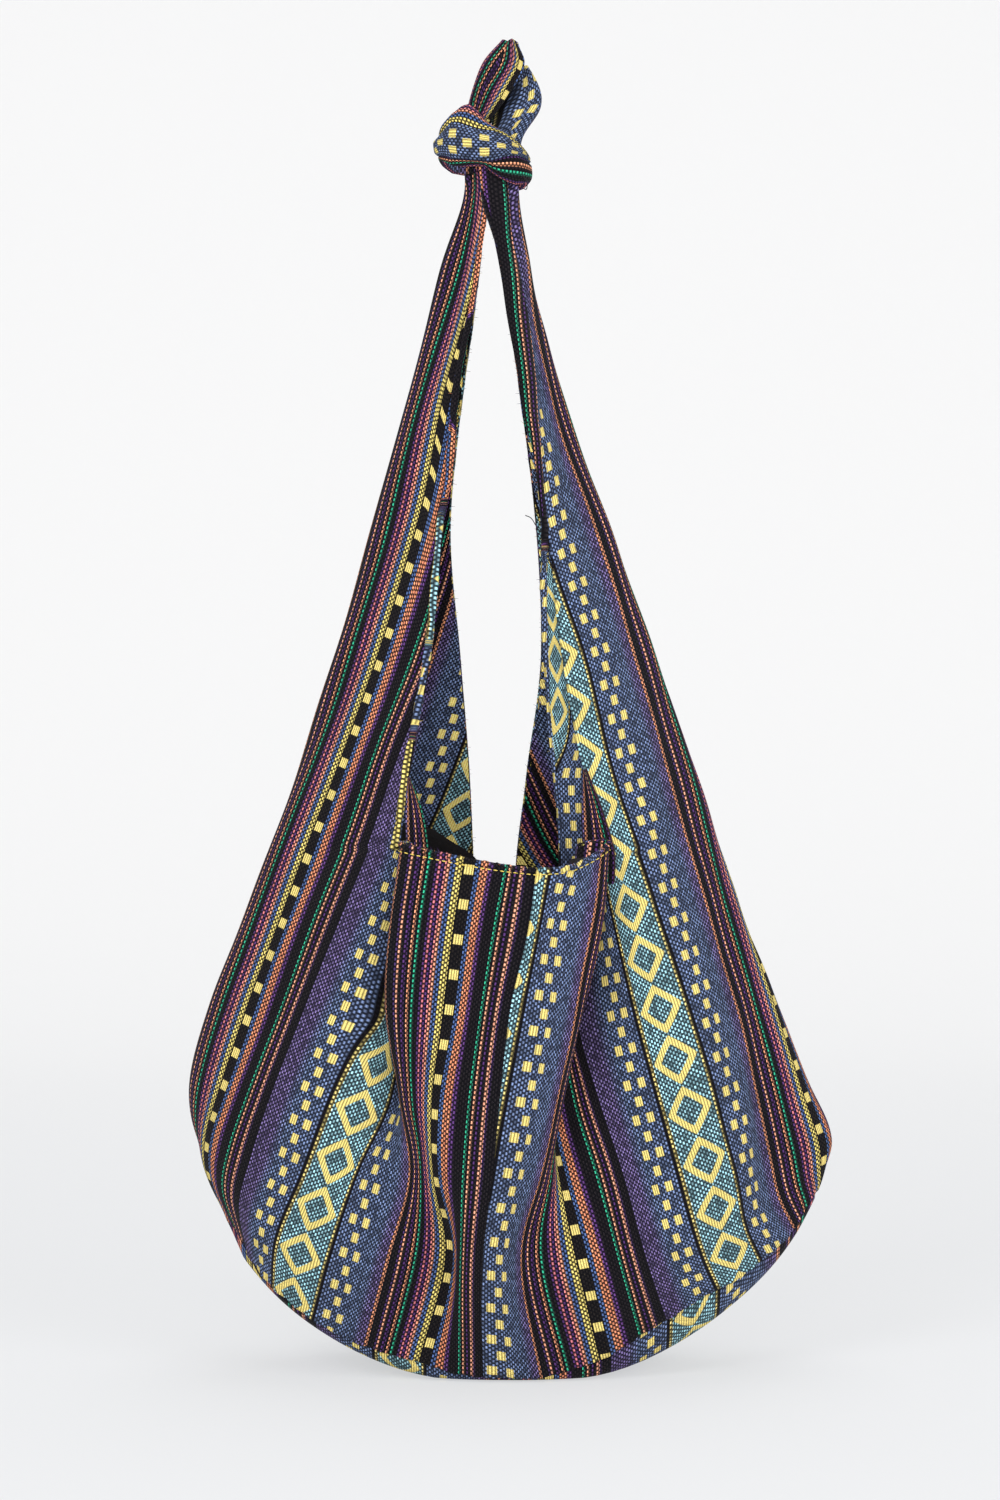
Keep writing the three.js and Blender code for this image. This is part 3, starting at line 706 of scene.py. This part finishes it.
# Right half. The same cut turned round, with its own drape and its own place in the stripes.
# It is sewn to the left half along both centre seams.
TURNED_HEM = np.linspace(1, 7, 60)
UPPER_HEM_FROM = 3 * STRAP_ROWS + 8
right_front = [
    rail([(-4.5, -50, 2.2), (-6, -72, 68), (2, -79, 110), (9.5, -81, 150), (17, -81, 195), (23, -79, 240),
          (32, -75, 272)], 69),
    rail([(15.6, -50, 2.6), (7.5, -62, 68), (18.5, -69, 110), (27.5, -70, 150), (37, -70, 195),
          (47, -68, 240), (51, -64, 284)], [113, 122, 130, 134, 135, 135, 135]),
    rail([(49, -48, 12.5), (36, -62, 68), (26, -57, 110), (20, -54, 150), (24, -52, 195), (30, -51, 240),
          (36, -50, 282)], 174),
    rail([(74, -44, 27), (62, -62, 68), (51, -59, 110), (38, -50, 150), (29, -41, 195), (33, -39, 240),
          (38, -37, 277)], 221),
    rail([(100, -37, 41), (89, -55, 68), (76.5, -60, 110), (66, -58, 150), (55, -53, 195), (48, -48, 240),
          (43, -45, 278)], 277),
    rail([(121.5, -29, 52), (112, -43, 75), (103.5, -54, 110), (91, -57, 150), (78, -55, 195),
          (64, -52, 240), (54, -50, 278), (39, -48, 320), (27.5, -41, 380), (19.5, -30, 450), (7, -22, 520),
          (-4.5, -15, 590), (-16, -13.5, 632), (-11.5, -9, 661), (-9, 10, 680), (-3, 10, 690), (2, 9, 699)],
         [321, 321, 321, 321, 321, 321, 321, 319, 326, 353, 354, 382, 386, 346, 342, 340, 340]),
    rail([(141, -20, 64.5), (131, -29, 85), (126, -36, 112), (117, -42, 150), (104, -42, 195),
          (90, -40, 240), (78, -38, 277), (65, -38, 320), (52, -32, 380), (29, -25, 450), (14, -17, 520),
          (2.5, -12, 590), (-5, -10, 632), (-2, -8, 661), (7, -4, 681), (7, -1, 692), (5, 4, 701)],
         [365, 365, 365, 365, 365, 365, 365, 368, 371, 371, 367, 392, 394, 361, 358, 356, 354]),
    rail([(152, -12, 75), (143.5, -17, 92), (138, -20, 115), (131, -24, 150), (120, -24, 195),
          (106.5, -23, 240), (96, -22, 276), (83.5, -21, 320), (65, -18, 380), (41.5, -14, 450),
          (20.5, -10, 520), (6, -7, 590), (2, -6, 632), (3, -5, 661), (14, -2, 681), (13, 1, 692),
          (8, 5, 701)],
         [409, 409, 409, 409, 409, 409, 409, 408, 405, 400, 405, 403, 404, 378, 374, 372, 368]),
]
right_side = rail(
    [(166, 0, 95), (169.5, 0, 106), (173, 0, 121), (162, 0, 150), (144, 0, 195), (126.5, 0, 240),
     (114.5, 0, 275), (100.5, 0, 320), (79, 0, 380), (54.5, 0, 450), (29, 0, 520), (11, 0, 590),
     (5, 0, 632), (7, 0, 661), (16.5, 5, 681), (15, 7, 691), (9, 9, 700)],
    [470, 480, 490, 490, 480, 470, 460, 450, 440, 435, 435, 412, 412, 393, 390, 388, 382])
right_back_hem = [
    (9.5, 45, 320), (17, 38, 380), (14.5, 30, 450), (6, 22, 520), (-4, 15, 590), (-10, 12, 632),
    (-11.5, 9, 661), (3, 16, 680), (5, 15, 690), (5, 12, 699)]
right_rails = half_rails(
    right_front, right_side, right_back_hem, SEAM_GAP / MM, [56, 54, 51, 46, 41, 40, 40], 1)
right_cloth = half_cloth(right_rails, True)
add_wrinkles(right_cloth, 8)
even_stripes(right_cloth, 0, 0)
even_stripes(right_cloth, COLUMNS, 0.26)
right_turned = [
    rail([(25.4, -38, 262), (25.2, -38, 278), (24.3, -38, 297), (22, -37.5, 320), (19.2, -36.5, 350),
          (17.6, -34.5, 380), (16, -32.5, 415), (16.3, -30, 450), (14.5, -27, 475)],
         [346, 346, 346, 344, 300, 298, 306, 352, 356]),
    rail([(34, -42, 262), (34, -42, 278), (33, -42, 297), (31, -42.5, 320), (25.8, -40, 350),
          (23.2, -37.8, 380), (20.2, -34, 415), (18.5, -29.6, 450), (15.2, -26.6, 475)],
         [366, 366, 366, 362, 326, 320, 324, 363, 366]),
    rail([(43, -43, 262), (42.5, -43, 278), (41.5, -44, 297), (40, -45.5, 320), (32.5, -41.5, 350),
          (28.8, -38.5, 380), (24.5, -34, 415), (21, -27.6, 450), (16.5, -25, 475)],
         [386, 386, 386, 384, 352, 342, 342, 374, 376]),
]
right_ear = flap([
    rail([(37.5, -46.5, 262), (37.5, -46.5, 278), (37, -46.5, 300), (37.6, -47.5, 321)], 108),
    rail([(45, -51, 262), (45, -51, 278), (42.5, -50.5, 300), (38.3, -48.6, 321)], 126),
    rail([(53.5, -52.2, 262), (53.5, -52.2, 278), (47, -51.4, 300), (39, -49.2, 321)], 148),
], True)
right_fold = flap([
    rail([(16.5, -29.6, 455), (14.3, -27.3, 475), (10.2, -24.9, 496), (6.7, -23.3, 510), (3.9, -21.2, 530),
          (-2.2, -17.9, 563), (-5.4, -15.7, 585), (-9.9, -14.6, 608), (-14.5, -15, 625), (-17, -15, 645)],
         [217, 215.5, 208.5, 205, 203.5, 200, 198, 196, 192, 191]),
    rail([(16.8, -30.9, 455), (15.1, -29, 475), (11.8, -27, 496), (9, -26.1, 510), (6.7, -23.8, 530),
          (1.3, -20.7, 563), (-2.2, -18.5, 585), (-6.8, -17.1, 608), (-10, -17, 625), (-12, -16.5, 645)],
         [218.5, 217.6, 212.8, 210.4, 209.3, 206.6, 203.7, 201.2, 200.4, 200.4]),
    rail([(17.3, -30.9, 455), (16.2, -28.3, 475), (14, -25.5, 496), (12, -24.4, 510), (10.5, -21.4, 530),
          (5.9, -18.2, 563), (2.1, -16.6, 585), (-2.6, -15.6, 608), (-4, -14, 625), (-5.6, -12.7, 645)],
         [220.5, 220.4, 218.7, 217.6, 217.2, 215.4, 211.3, 208.2, 207.6, 207.6]),
    rail([(17.7, -30.3, 455), (17, -26.9, 475), (15.7, -23, 496), (14.3, -20.5, 510), (13.3, -16.6, 530),
          (9.4, -12.2, 563), (5.3, -11, 585), (0.5, -11.4, 608), (-0.9, -10, 625), (-2.7, -9.8, 645)],
         [222, 222.5, 223, 223, 223, 222, 217, 213.5, 213, 213]),
], True)
right_panel = cloth_piece(
    "right_half", *joined(right_cloth, flap(right_turned, True), right_ear, right_fold), CLOTH,
    (0.222, 0.35), weave)
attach(right_panel, "root")
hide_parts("right_panel")
right_low_edge = follow(right_turned[0], TURNED_HEM)[:, :3]
right_low_way = follow(right_turned[1], TURNED_HEM)[:, :3] - right_low_edge
right_high_edge, right_high_way = strap_edge(right_cloth, 0, 5)
right_edge = np.vstack([right_low_edge, right_high_edge[UPPER_HEM_FROM:]])
right_way = np.vstack([right_low_way, right_high_way[UPPER_HEM_FROM:]])
right_back_edge, right_back_way = strap_edge(right_cloth, -1, -5)
right_hems = [
    strap_hem("right_strap_hem", right_edge, right_way,
              [(280, 0.9), (350, 1.1), (400, 1.8), (450, 2.0), (490, 2.0), (530, 1.6), (640, 1.6)],
              [(280, 362), (380, 368), (420, 380), (436, 384), (440, 502), (640, 502)],
              [(436, -1), (440, -0.25)]),
    strap_hem("right_back_hem", right_back_edge, right_back_way,
              [(280, 0.9), (330, 1.3), (360, 1.3), (400, 0.9), (640, 1.1)],
              [(280, 100), (330, 160), (640, 190)], [(280, 1), (640, 1)]),
    mouth_hem("right_mouth_hem", right_cloth),
]

# Base. A pointed lens of the same cloth with its stripes from front to back, sewn to the lower edges
# of both halves. It sags into a rounded keel and lies flat on the table in the middle.
BASE_ROWS = 36
BASE_SAG = 0.6
BASE_POINT_DEPTH = 0.0005
BASE_FLAT_FROM, BASE_FLAT_SHARE = (0.04, 0.12), (0.90, 0.20)
BASE_TRIM = 3
BASE_REPEAT = 0.15552
BASE_DIAMONDS = -0.05886
KEEL_RISE, KEEL_DEPTH, KEEL_HALF_LENGTH = 0.150, 0.155, 0.178
KEEL_BLEND, KEEL_SINK = 0.005, 0.001036


def keel(x):
    """Height of the rounded underside, flat where it stands on the table."""
    bowl = KEEL_RISE - KEEL_DEPTH * np.sqrt(1 - np.minimum(1, np.abs(x) / KEEL_HALF_LENGTH) ** 2)
    return np.maximum(0, (bowl + np.sqrt(bowl**2 + KEEL_BLEND**2)) / 2 - KEEL_SINK)


def lower_edge(rails, front):
    """The lower edge of a half from its centre-front seam to its side."""
    columns = np.arange((len(front) + 1) * COLUMNS + 1) / COLUMNS
    return follow(np.array([line[0] for line in rails]), columns)[:, :3]


def base_net(inset, lift):
    """Rows of the base from its front seam to its back seam."""
    edge = np.vstack([lower_edge(left_rails, left_front)[::-1], lower_edge(right_rails, right_front)])
    depth = np.maximum(BASE_POINT_DEPTH, -edge[:, 1] - inset)
    flat = np.interp(np.abs(edge[:, 0]), BASE_FLAT_FROM, BASE_FLAT_SHARE)
    low = np.minimum(edge[:, 2], np.maximum(keel(edge[:, 0]), edge[:, 2] + BASE_SAG * edge[:, 1]) + lift)
    rows = []
    for share in np.sin(np.linspace(-math.pi / 2, math.pi / 2, BASE_ROWS + 1)):
        up = 1 - np.sqrt(1 - np.clip((abs(share) - flat) / (1 - flat), 0, 1) ** 2)
        rows.append(np.column_stack([edge[:, 0], share * depth, low + (edge[:, 2] - low) * up]))
    return np.stack(rows)


base_grid = base_net(CLOTH + SEAM_GAP, 0)[:, BASE_TRIM:-BASE_TRIM]
base_points = base_grid.reshape(-1, 3)
base_runs = way_along(base_grid)
base_runs -= base_runs[BASE_ROWS // 2]
base_stripes = DIAMOND_BAND + (base_points[:, 0] - BASE_DIAMONDS) / BASE_REPEAT * UNITS
base_panel = cloth_piece(
    "base", base_points, weave_place(base_stripes, base_runs.reshape(-1)), grid_faces(numbered(base_grid)),
    CLOTH, (0.1, 0.3), weave)
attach(base_panel, "root")
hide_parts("base_panel")

# Lining. A loose bag of plain black cotton that hangs inside the sack. It is sewn under the hem of
# the mouth, rises a little behind the straps, and has a floor of its own just over the base.
LINING_CLOTH = 0.0008
LINING_LEVEL = 5.8
LINING_ROWS = 64
LINING_GAP = 0.0014
LINING_RISE_LEFT, LINING_RISE_RIGHT = 0.62, 0.20
FLOOR_INSET, FLOOR_LIFT, FLOOR_GAP = 0.0030, 0.008, 0.0020
FLOOR_TRIM = 8
WELDS_PER_METRE = 5000
lining_cloth, lining_tree, lining_shader = new_material(
    "black_lining_cotton", {"Roughness": 0.9, "Specular IOR Level": 0.2})
lining_place = add_node(lining_tree, "ShaderNodeTexCoord")
lining_grain = add_node(lining_tree, "ShaderNodeTexNoise", inputs={
    "Vector": lining_place.outputs["Object"], "Scale": 900}).outputs["Fac"]
lining_bump = add_node(lining_tree, "ShaderNodeBump", inputs={
    "Strength": 0.4, "Distance": 0.0003, "Height": lining_grain})
lining_colour = colour_ramp(lining_tree, lining_grain, [(0, "1d1b1c"), (1, "353234")], "LINEAR")
lining_tree.links.new(lining_colour, lining_shader.inputs["Base Color"])
lining_tree.links.new(lining_bump.outputs[0], lining_shader.inputs["Normal"])


def welded(sheets):
    """One net from several, with points that coincide made one."""
    points = np.vstack([p for p, _ in sheets])
    shifts = np.cumsum([0] + [len(p) for p, _ in sheets[:-1]])
    faces = np.vstack([f + s for (_, f), s in zip(sheets, shifts)])
    keys = np.round(points * WELDS_PER_METRE).astype(np.int64)
    _, first, same = np.unique(keys, axis=0, return_index=True, return_inverse=True)
    faces = same.reshape(-1)[faces]
    keep = [len(set(face)) == 4 for face in faces.tolist()]
    return points[first], faces[np.array(keep)]


def lining_half(rails, shift, rise, reverse):
    """The lining behind one half. The rise lifts its upper edge behind the strap."""
    centred = [line.copy() for line in rails]
    centred[0][:, 0] -= shift
    centred[-1][:, 0] -= shift
    last = len(rails) - 1
    behind = np.interp(
        np.arange(len(rails)), [STRAP_FROM, STRAP_FROM + 2, last - 3, last - 1, last], [0, 1, 1.05, 0.72, 0])
    shares = np.linspace(0, 1, LINING_ROWS)
    grid = net_over([
        follow(line, shares * (LINING_LEVEL + rise * lifted)) for line, lifted in zip(centred, behind)])
    faces = grid_faces(numbered(grid))
    return grid[..., :3].reshape(-1, 3), faces[:, ::-1] if reverse else faces


lining_points, lining_faces = welded([
    lining_half(left_rails, -SEAM_GAP, LINING_RISE_LEFT, False),
    lining_half(right_rails, SEAM_GAP, LINING_RISE_RIGHT, True),
])
lining_points = lining_points - outward(lining_points, lining_faces) * (CLOTH + LINING_GAP)
floor_grid = base_net(CLOTH + FLOOR_INSET, FLOOR_LIFT)[:, FLOOR_TRIM:-FLOOR_TRIM] + (0, 0, FLOOR_GAP)
lining_faces = np.vstack([lining_faces, grid_faces(numbered(floor_grid)) + len(lining_points)])
lining_points = np.vstack([lining_points, floor_grid.reshape(-1, 3)])
lining = cloth_piece(
    "lining_bag", lining_points, np.zeros((len(lining_points), 2)), lining_faces, LINING_CLOTH, (0, 0),
    lining_cloth)
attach(lining, "root")
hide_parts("lining")

# Knot. The end of one strap goes once round both straps and is pulled tight, so its cloth lies in
# three puffed folds with a small tuck under the left end. It is the same striped cotton, with the
# stripes along the turn.
KNOT_CENTRE = np.array([-0.0142, 0.0, 0.656])
KNOT_REACH_X, KNOT_REACH_Y = 0.0208, 0.0168
KNOT_WALL = 0.0062
KNOT_TURNS = 144
KNOT_GIRTH = 0.172
KNOT_RUN_START = 0.0032
LOWER_CREASE, UPPER_CREASE = -0.42, 0.50
TURNED_IN = math.pi / 2 + 0.5
FOLD_ROUNDNESS, FOLD_LEVEL, FOLD_OUT = 0.6, 0.75, 0.5
KNOT_RIPPLE, KNOT_WAVE = 0.03, 0.0003
knot_around = np.arange(KNOT_TURNS) * 2 * math.pi / KNOT_TURNS
# Heights in mm over the knot's middle of its lower edge, lower crease, upper crease and upper edge,
# from its left end to its right end
KNOT_ACROSS = [-27, -25, -20, -15, -10.5, -5, 0, 5, 10, 15, 20, 25, 27]
KNOT_LINES = [
    [-7, -9, -11.5, -12, -12, -12, -12.5, -16, -18.5, -20, -21, -20.5, -19],
    [-4, -5, -7.8, -8.8, -9.2, -9.6, -10, -9.6, -8.4, -7.2, -6.4, -6.6, -7.5],
    [6, 8.5, 12, 11.2, 9.6, 8, 7.2, 6.4, 5, 2.6, 0, -3.4, -5],
    [9.5, 12.5, 17.5, 20.5, 21, 17.5, 12.5, 9, 7.2, 5.2, 3, -1, -3],
]
knot_lines = MM * np.array([
    np.interp(KNOT_ACROSS[-1] * np.cos(knot_around), KNOT_ACROSS, line) for line in KNOT_LINES])
# Each fold: where it starts and ends round the section, its rows, how far it swells, how much more
# it swells at the right end, and its stripes
knot_folds = [
    (-TURNED_IN, LOWER_CREASE, 16, 0.30, 0.15, 160, 131),
    (LOWER_CREASE, UPPER_CREASE, 26, 0.42, -0.42, 84, 51),
    (UPPER_CREASE, TURNED_IN, 16, 0.36, -0.30, 167, 134),
    (TURNED_IN, 2 * math.pi - TURNED_IN, 14, 0.0, 0.0, 134, 160),
]
knot_heights = [-1, math.sin(LOWER_CREASE), math.sin(UPPER_CREASE), 1]
knot_columns = []
knot_stripes = []
for fold_start, fold_end, fold_rows, swell, right_swell, first_stripe, last_stripe in knot_folds:
    for row in range(fold_rows):
        share = row / fold_rows
        angle = fold_start + (fold_end - fold_start) * share
        puff = 1 + swell * (math.sin(math.pi * share) ** FOLD_ROUNDNESS - FOLD_LEVEL)
        puff = puff + KNOT_RIPPLE * np.sin(6 * knot_around + 9 * share + fold_rows)
        puff = puff + right_swell * math.sin(math.pi * share) * np.clip(np.cos(knot_around), 0, 1) ** 2
        wall = KNOT_WALL * math.cos(angle) * puff
        out = FOLD_OUT * KNOT_WALL * (puff - 1)
        x = (KNOT_REACH_X + wall + out) * np.cos(knot_around)
        y = (KNOT_REACH_Y + wall + out) * np.sin(knot_around)
        z = np.array([np.interp(math.sin(angle), knot_heights, line) for line in knot_lines.T])
        z = z + KNOT_WAVE * np.sin(5 * knot_around + 7 * share)
        knot_columns.append(np.stack([x, y, z], axis=-1) + KNOT_CENTRE)
        knot_stripes.append((
            first_stripe + (last_stripe - first_stripe) * share,
            first_stripe + (last_stripe - first_stripe) * (row + 1) / fold_rows))
knot_grid = np.stack(knot_columns, axis=1)
knot_points = knot_grid.reshape(-1, 3)
knot_faces = grid_faces(np.pad(numbered(knot_grid), (0, 1), mode="wrap"))
knot_corner_stripes = np.tile(np.array(knot_stripes)[:, [0, 0, 1, 1]], (KNOT_TURNS, 1))
knot_steps = np.repeat(np.arange(KNOT_TURNS), len(knot_columns))[:, None] + np.array([0, 1, 1, 0])
knot_places = weave_place(knot_corner_stripes, knot_steps / KNOT_TURNS * KNOT_GIRTH + KNOT_RUN_START)

TUCK_CENTRE = np.array([-0.0255, -0.0070, 0.6478])
TUCK_REACH = np.array([0.0085, 0.0080, 0.0066])
TUCK_RINGS, TUCK_SIDES = 16, 32
TUCK_STRIPE = 108
TUCK_STRETCH = 1.3
TUCK_LEAN = 0.35
TUCK_RIPPLE = 0.11
tuck_rise, tuck_turn = np.meshgrid(
    np.linspace(-math.pi / 2, math.pi / 2, TUCK_RINGS + 1)[1:-1],
    np.arange(TUCK_SIDES) * 2 * math.pi / TUCK_SIDES, indexing="ij")
tuck_flat = np.cos(tuck_rise)
tuck_puff = 1 + TUCK_RIPPLE * np.sin(5 * tuck_turn + 1.2 * tuck_rise) * tuck_flat
tuck_ball = np.stack(
    [tuck_flat * np.cos(tuck_turn), tuck_flat * np.sin(tuck_turn), np.sin(tuck_rise)], axis=-1)
tuck_points = (tuck_ball * tuck_puff[..., None]).reshape(-1, 3) * TUCK_REACH
tuck_points = np.vstack([tuck_points, [[0, 0, -TUCK_REACH[2]], [0, 0, TUCK_REACH[2]]]])
tuck_points[:, 0] -= TUCK_LEAN * tuck_points[:, 2]
tuck_points += TUCK_CENTRE
tuck_index = numbered(tuck_rise)
tuck_side = np.roll(tuck_index, -1, axis=1)
tuck_quads = np.stack([tuck_index[:-1], tuck_side[:-1], tuck_side[1:], tuck_index[1:]], axis=-1)
tuck_low, tuck_high = tuck_index.size, tuck_index.size + 1
tuck_faces = tuck_quads.reshape(-1, 4).tolist()
tuck_faces += [[tuck_low, b, a] for a, b in zip(tuck_index[0].tolist(), tuck_side[0].tolist())]
tuck_faces += [[tuck_high, a, b] for a, b in zip(tuck_index[-1].tolist(), tuck_side[-1].tolist())]
tuck_corners = tuck_points[np.concatenate(tuck_faces)]
tuck_stripes = TUCK_STRIPE + (tuck_corners[:, 0] - TUCK_CENTRE[0]) / UNIT * TUCK_STRETCH

knot_and_tuck_faces = knot_faces.tolist() + [[k + len(knot_points) for k in face] for face in tuck_faces]
knot = cloth_object(
    "knot_turn", np.vstack([knot_points, tuck_points]), knot_and_tuck_faces,
    np.vstack([knot_places.reshape(-1, 2), weave_place(tuck_stripes, tuck_corners[:, 2])]), weave)
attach(knot, "root")
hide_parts("knot_wrap")

# Topstitching. One row of yellow running stitches of cotton thread goes through the front hem of the
# mouth, about 4 mm under its edge, and holds the turned hem and the lining.
STITCH_LENGTH = 0.0025
STITCH_PITCH = 0.0034
STITCH_THICKNESS = (0.0007, 0.0006)
STITCH_ROW = -3
LEFT_STITCHED, RIGHT_STITCHED = 48, 30
OVER_CLOTH = 0.0004
thread, _, _ = new_material("yellow_thread", {"Base Color": linear("e2c75c"), "Roughness": 0.8})


def lines_object(name, lines):
    """An object of bare lines for a node tree to follow."""
    points = np.vstack(lines)
    starts = np.cumsum([0] + [len(line) for line in lines[:-1]])
    edges = [(int(s) + k, int(s) + k + 1) for s, line in zip(starts, lines) for k in range(len(line) - 1)]
    mesh = bpy.data.meshes.new(name)
    mesh.from_pydata(points.tolist(), edges, [])
    piece = bpy.data.objects.new(name, mesh)
    scene.collection.objects.link(piece)
    return piece


class ThreadNodes:
    """A small geometry node tree that follows lines, with named number inputs and a material."""

    def __init__(self, name, numbers, material):
        self.tree = bpy.data.node_groups.new(name, "GeometryNodeTree")
        self.tree.interface.new_socket("Lines", in_out="INPUT", socket_type="NodeSocketGeometry")
        self.tree.interface.new_socket("Result", in_out="OUTPUT", socket_type="NodeSocketGeometry")
        for label in numbers:
            self.tree.interface.new_socket(label, in_out="INPUT", socket_type="NodeSocketFloat")
        self.numbers = numbers
        self.material = material
        self.start = self.add("NodeGroupInput")
        self.line = self.add("GeometryNodeMeshToCurve", inputs={"Mesh": self.start.outputs["Lines"]})

    def add(self, kind, settings=None, inputs=None):
        return add_node(self.tree, kind, settings, inputs)

    def along_line(self, instance, rotation, scale):
        """Copies of an instance along the lines, one pitch apart."""
        places = self.add("GeometryNodeResampleCurve", {"mode": "LENGTH"}, {
            "Curve": self.line.outputs[0], "Length": self.start.outputs["Pitch"]})
        return self.add("GeometryNodeInstanceOnPoints", inputs={
            "Points": places.outputs[0], "Instance": instance.outputs[0], "Rotation": rotation,
            "Scale": scale})

    def finish(self, geometry, piece):
        """Ends the tree, runs it on a piece and leaves a plain mesh."""
        real = self.add("GeometryNodeRealizeInstances", inputs={"Geometry": geometry.outputs[0]})
        coated = self.add("GeometryNodeSetMaterial", inputs={
            "Geometry": real.outputs[0], "Material": self.material})
        self.add("NodeGroupOutput", inputs={0: coated.outputs[0]})
        modifier = piece.modifiers.new("follow", "NODES")
        modifier.node_group = self.tree
        for item in self.tree.interface.items_tree:
            if item.in_out == "INPUT" and item.name in self.numbers:
                modifier[item.identifier] = self.numbers[item.name]
        graph = bpy.context.evaluated_depsgraph_get()
        plain = bpy.data.meshes.new_from_object(piece.evaluated_get(graph))
        piece.modifiers.remove(modifier)
        piece.data = plain
        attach(piece, "root")


def above_cloth(cloth, row, columns):
    """A line along one row of a half's front, just over the cloth."""
    at = cloth.body[row, :columns]
    return cloth.points[at] + outward(cloth.points, cloth.faces)[at] * OVER_CLOTH


stitches = lines_object("mouth_stitches", [
    above_cloth(left_cloth, STITCH_ROW, LEFT_STITCHED),
    above_cloth(right_cloth, STITCH_ROW, RIGHT_STITCHED),
])
sewing = ThreadNodes("running_stitch", {"Pitch": STITCH_PITCH, "Length": STITCH_LENGTH}, thread)
stitch_way = sewing.add("GeometryNodeInputTangent")
stitch_turn = sewing.add(
    "FunctionNodeAlignRotationToVector", {"axis": "X"}, {"Vector": stitch_way.outputs[0]})
stitch_ball = sewing.add("GeometryNodeMeshUVSphere", inputs={"Segments": 6, "Rings": 4, "Radius": 0.5})
stitch_size = sewing.add("ShaderNodeCombineXYZ", inputs={
    "X": sewing.start.outputs["Length"], "Y": STITCH_THICKNESS[0], "Z": STITCH_THICKNESS[1]})
sewing.finish(sewing.along_line(stitch_ball, stitch_turn.outputs[0], stitch_size.outputs[0]), stitches)

# Loose yarn ends. Short frayed ends of the weave's own cotton yarns stand out of the rolled hems of
# the mouth and the straps. They are part of the cloth and stay where the weave holds them.
FRAY_PITCH = 0.0014
FRAY_LENGTH = 0.0030
FRAY_ROOT, FRAY_TIP = 0.00016, 0.00004
FRAY_TURN = (2.2, 2.2, 3.1)
FRAY_SHORTEST = 0.35
FRAY_TONES = [(0, "17141c"), (0.35, "3b4a78"), (0.6, "4b3468"), (0.75, "b06a4a"), (0.85, "d8c070")]
fray_yarn, fray_tree, fray_shader = new_material("frayed_yarn", {"Roughness": 0.9})
fray_tone = add_node(fray_tree, "ShaderNodeAttribute", {"attribute_name": "yarn_tone"})
fray_colour = colour_ramp(fray_tree, fray_tone.outputs["Fac"], FRAY_TONES, "CONSTANT")
fray_tree.links.new(fray_colour, fray_shader.inputs["Base Color"])
frays = lines_object("loose_yarn_ends", [
    above_cloth(left_cloth, -1, MOUTH_COLUMNS), above_cloth(right_cloth, -1, MOUTH_COLUMNS),
    left_edge, left_back_edge, right_edge, right_back_edge,
])
fraying = ThreadNodes("fraying", {"Pitch": FRAY_PITCH, "Length": FRAY_LENGTH}, fray_yarn)
fray_cone = fraying.add("GeometryNodeMeshCone", {"fill_type": "NGON"}, {
    "Vertices": 4, "Radius Top": FRAY_TIP, "Radius Bottom": FRAY_ROOT,
    "Depth": fraying.start.outputs["Length"]})
fray_turn = fraying.add("FunctionNodeRandomValue", {"data_type": "FLOAT_VECTOR"}, {
    0: [-angle for angle in FRAY_TURN], 1: FRAY_TURN, "Seed": 5})
fray_scale = fraying.add(
    "FunctionNodeRandomValue", {"data_type": "FLOAT"}, {2: FRAY_SHORTEST, 3: 1.0, "Seed": 11})
fray_chance = fraying.add("FunctionNodeRandomValue", {"data_type": "FLOAT"}, {"Seed": 23})
fray_all = fraying.along_line(fray_cone, fray_turn.outputs[0], fray_scale.outputs[1])
fray_marked = fraying.add(
    "GeometryNodeStoreNamedAttribute", {"data_type": "FLOAT", "domain": "INSTANCE"},
    {"Geometry": fray_all.outputs[0], "Name": "yarn_tone", "Value": fray_chance.outputs[1]})
fraying.finish(fray_marked, frays)

# Stray threads. Two loose dark ends of the same cotton yarn hang from the weave, one at the right
# strap's edge and one under the knot.
STRAY_RADIUS = 0.00024
STRAY_ROUTES = [
    [(17.2, -30.5, 445.5), (14.0, -31.5, 449.0), (10.5, -31.0, 454.5), (7.5, -30.0, 456.0)],
    [(6.0, -16.0, 639.0), (8.5, -17.5, 635.0), (8.0, -18.0, 631.0), (5.5, -17.5, 632.5)],
]
strays = lines_object(
    "stray_threads", [follow(np.array(route) * MM, np.linspace(0, 3, 16)) for route in STRAY_ROUTES])
straying = ThreadNodes("round_thread", {"Radius": STRAY_RADIUS}, fray_yarn)
stray_ring = straying.add("GeometryNodeCurvePrimitiveCircle", inputs={
    "Resolution": 6, "Radius": straying.start.outputs["Radius"]})
stray_tube = straying.add("GeometryNodeCurveToMesh", inputs={
    "Curve": straying.line.outputs[0], "Profile Curve": stray_ring.outputs[0], "Fill Caps": True})
straying.finish(stray_tube, strays)
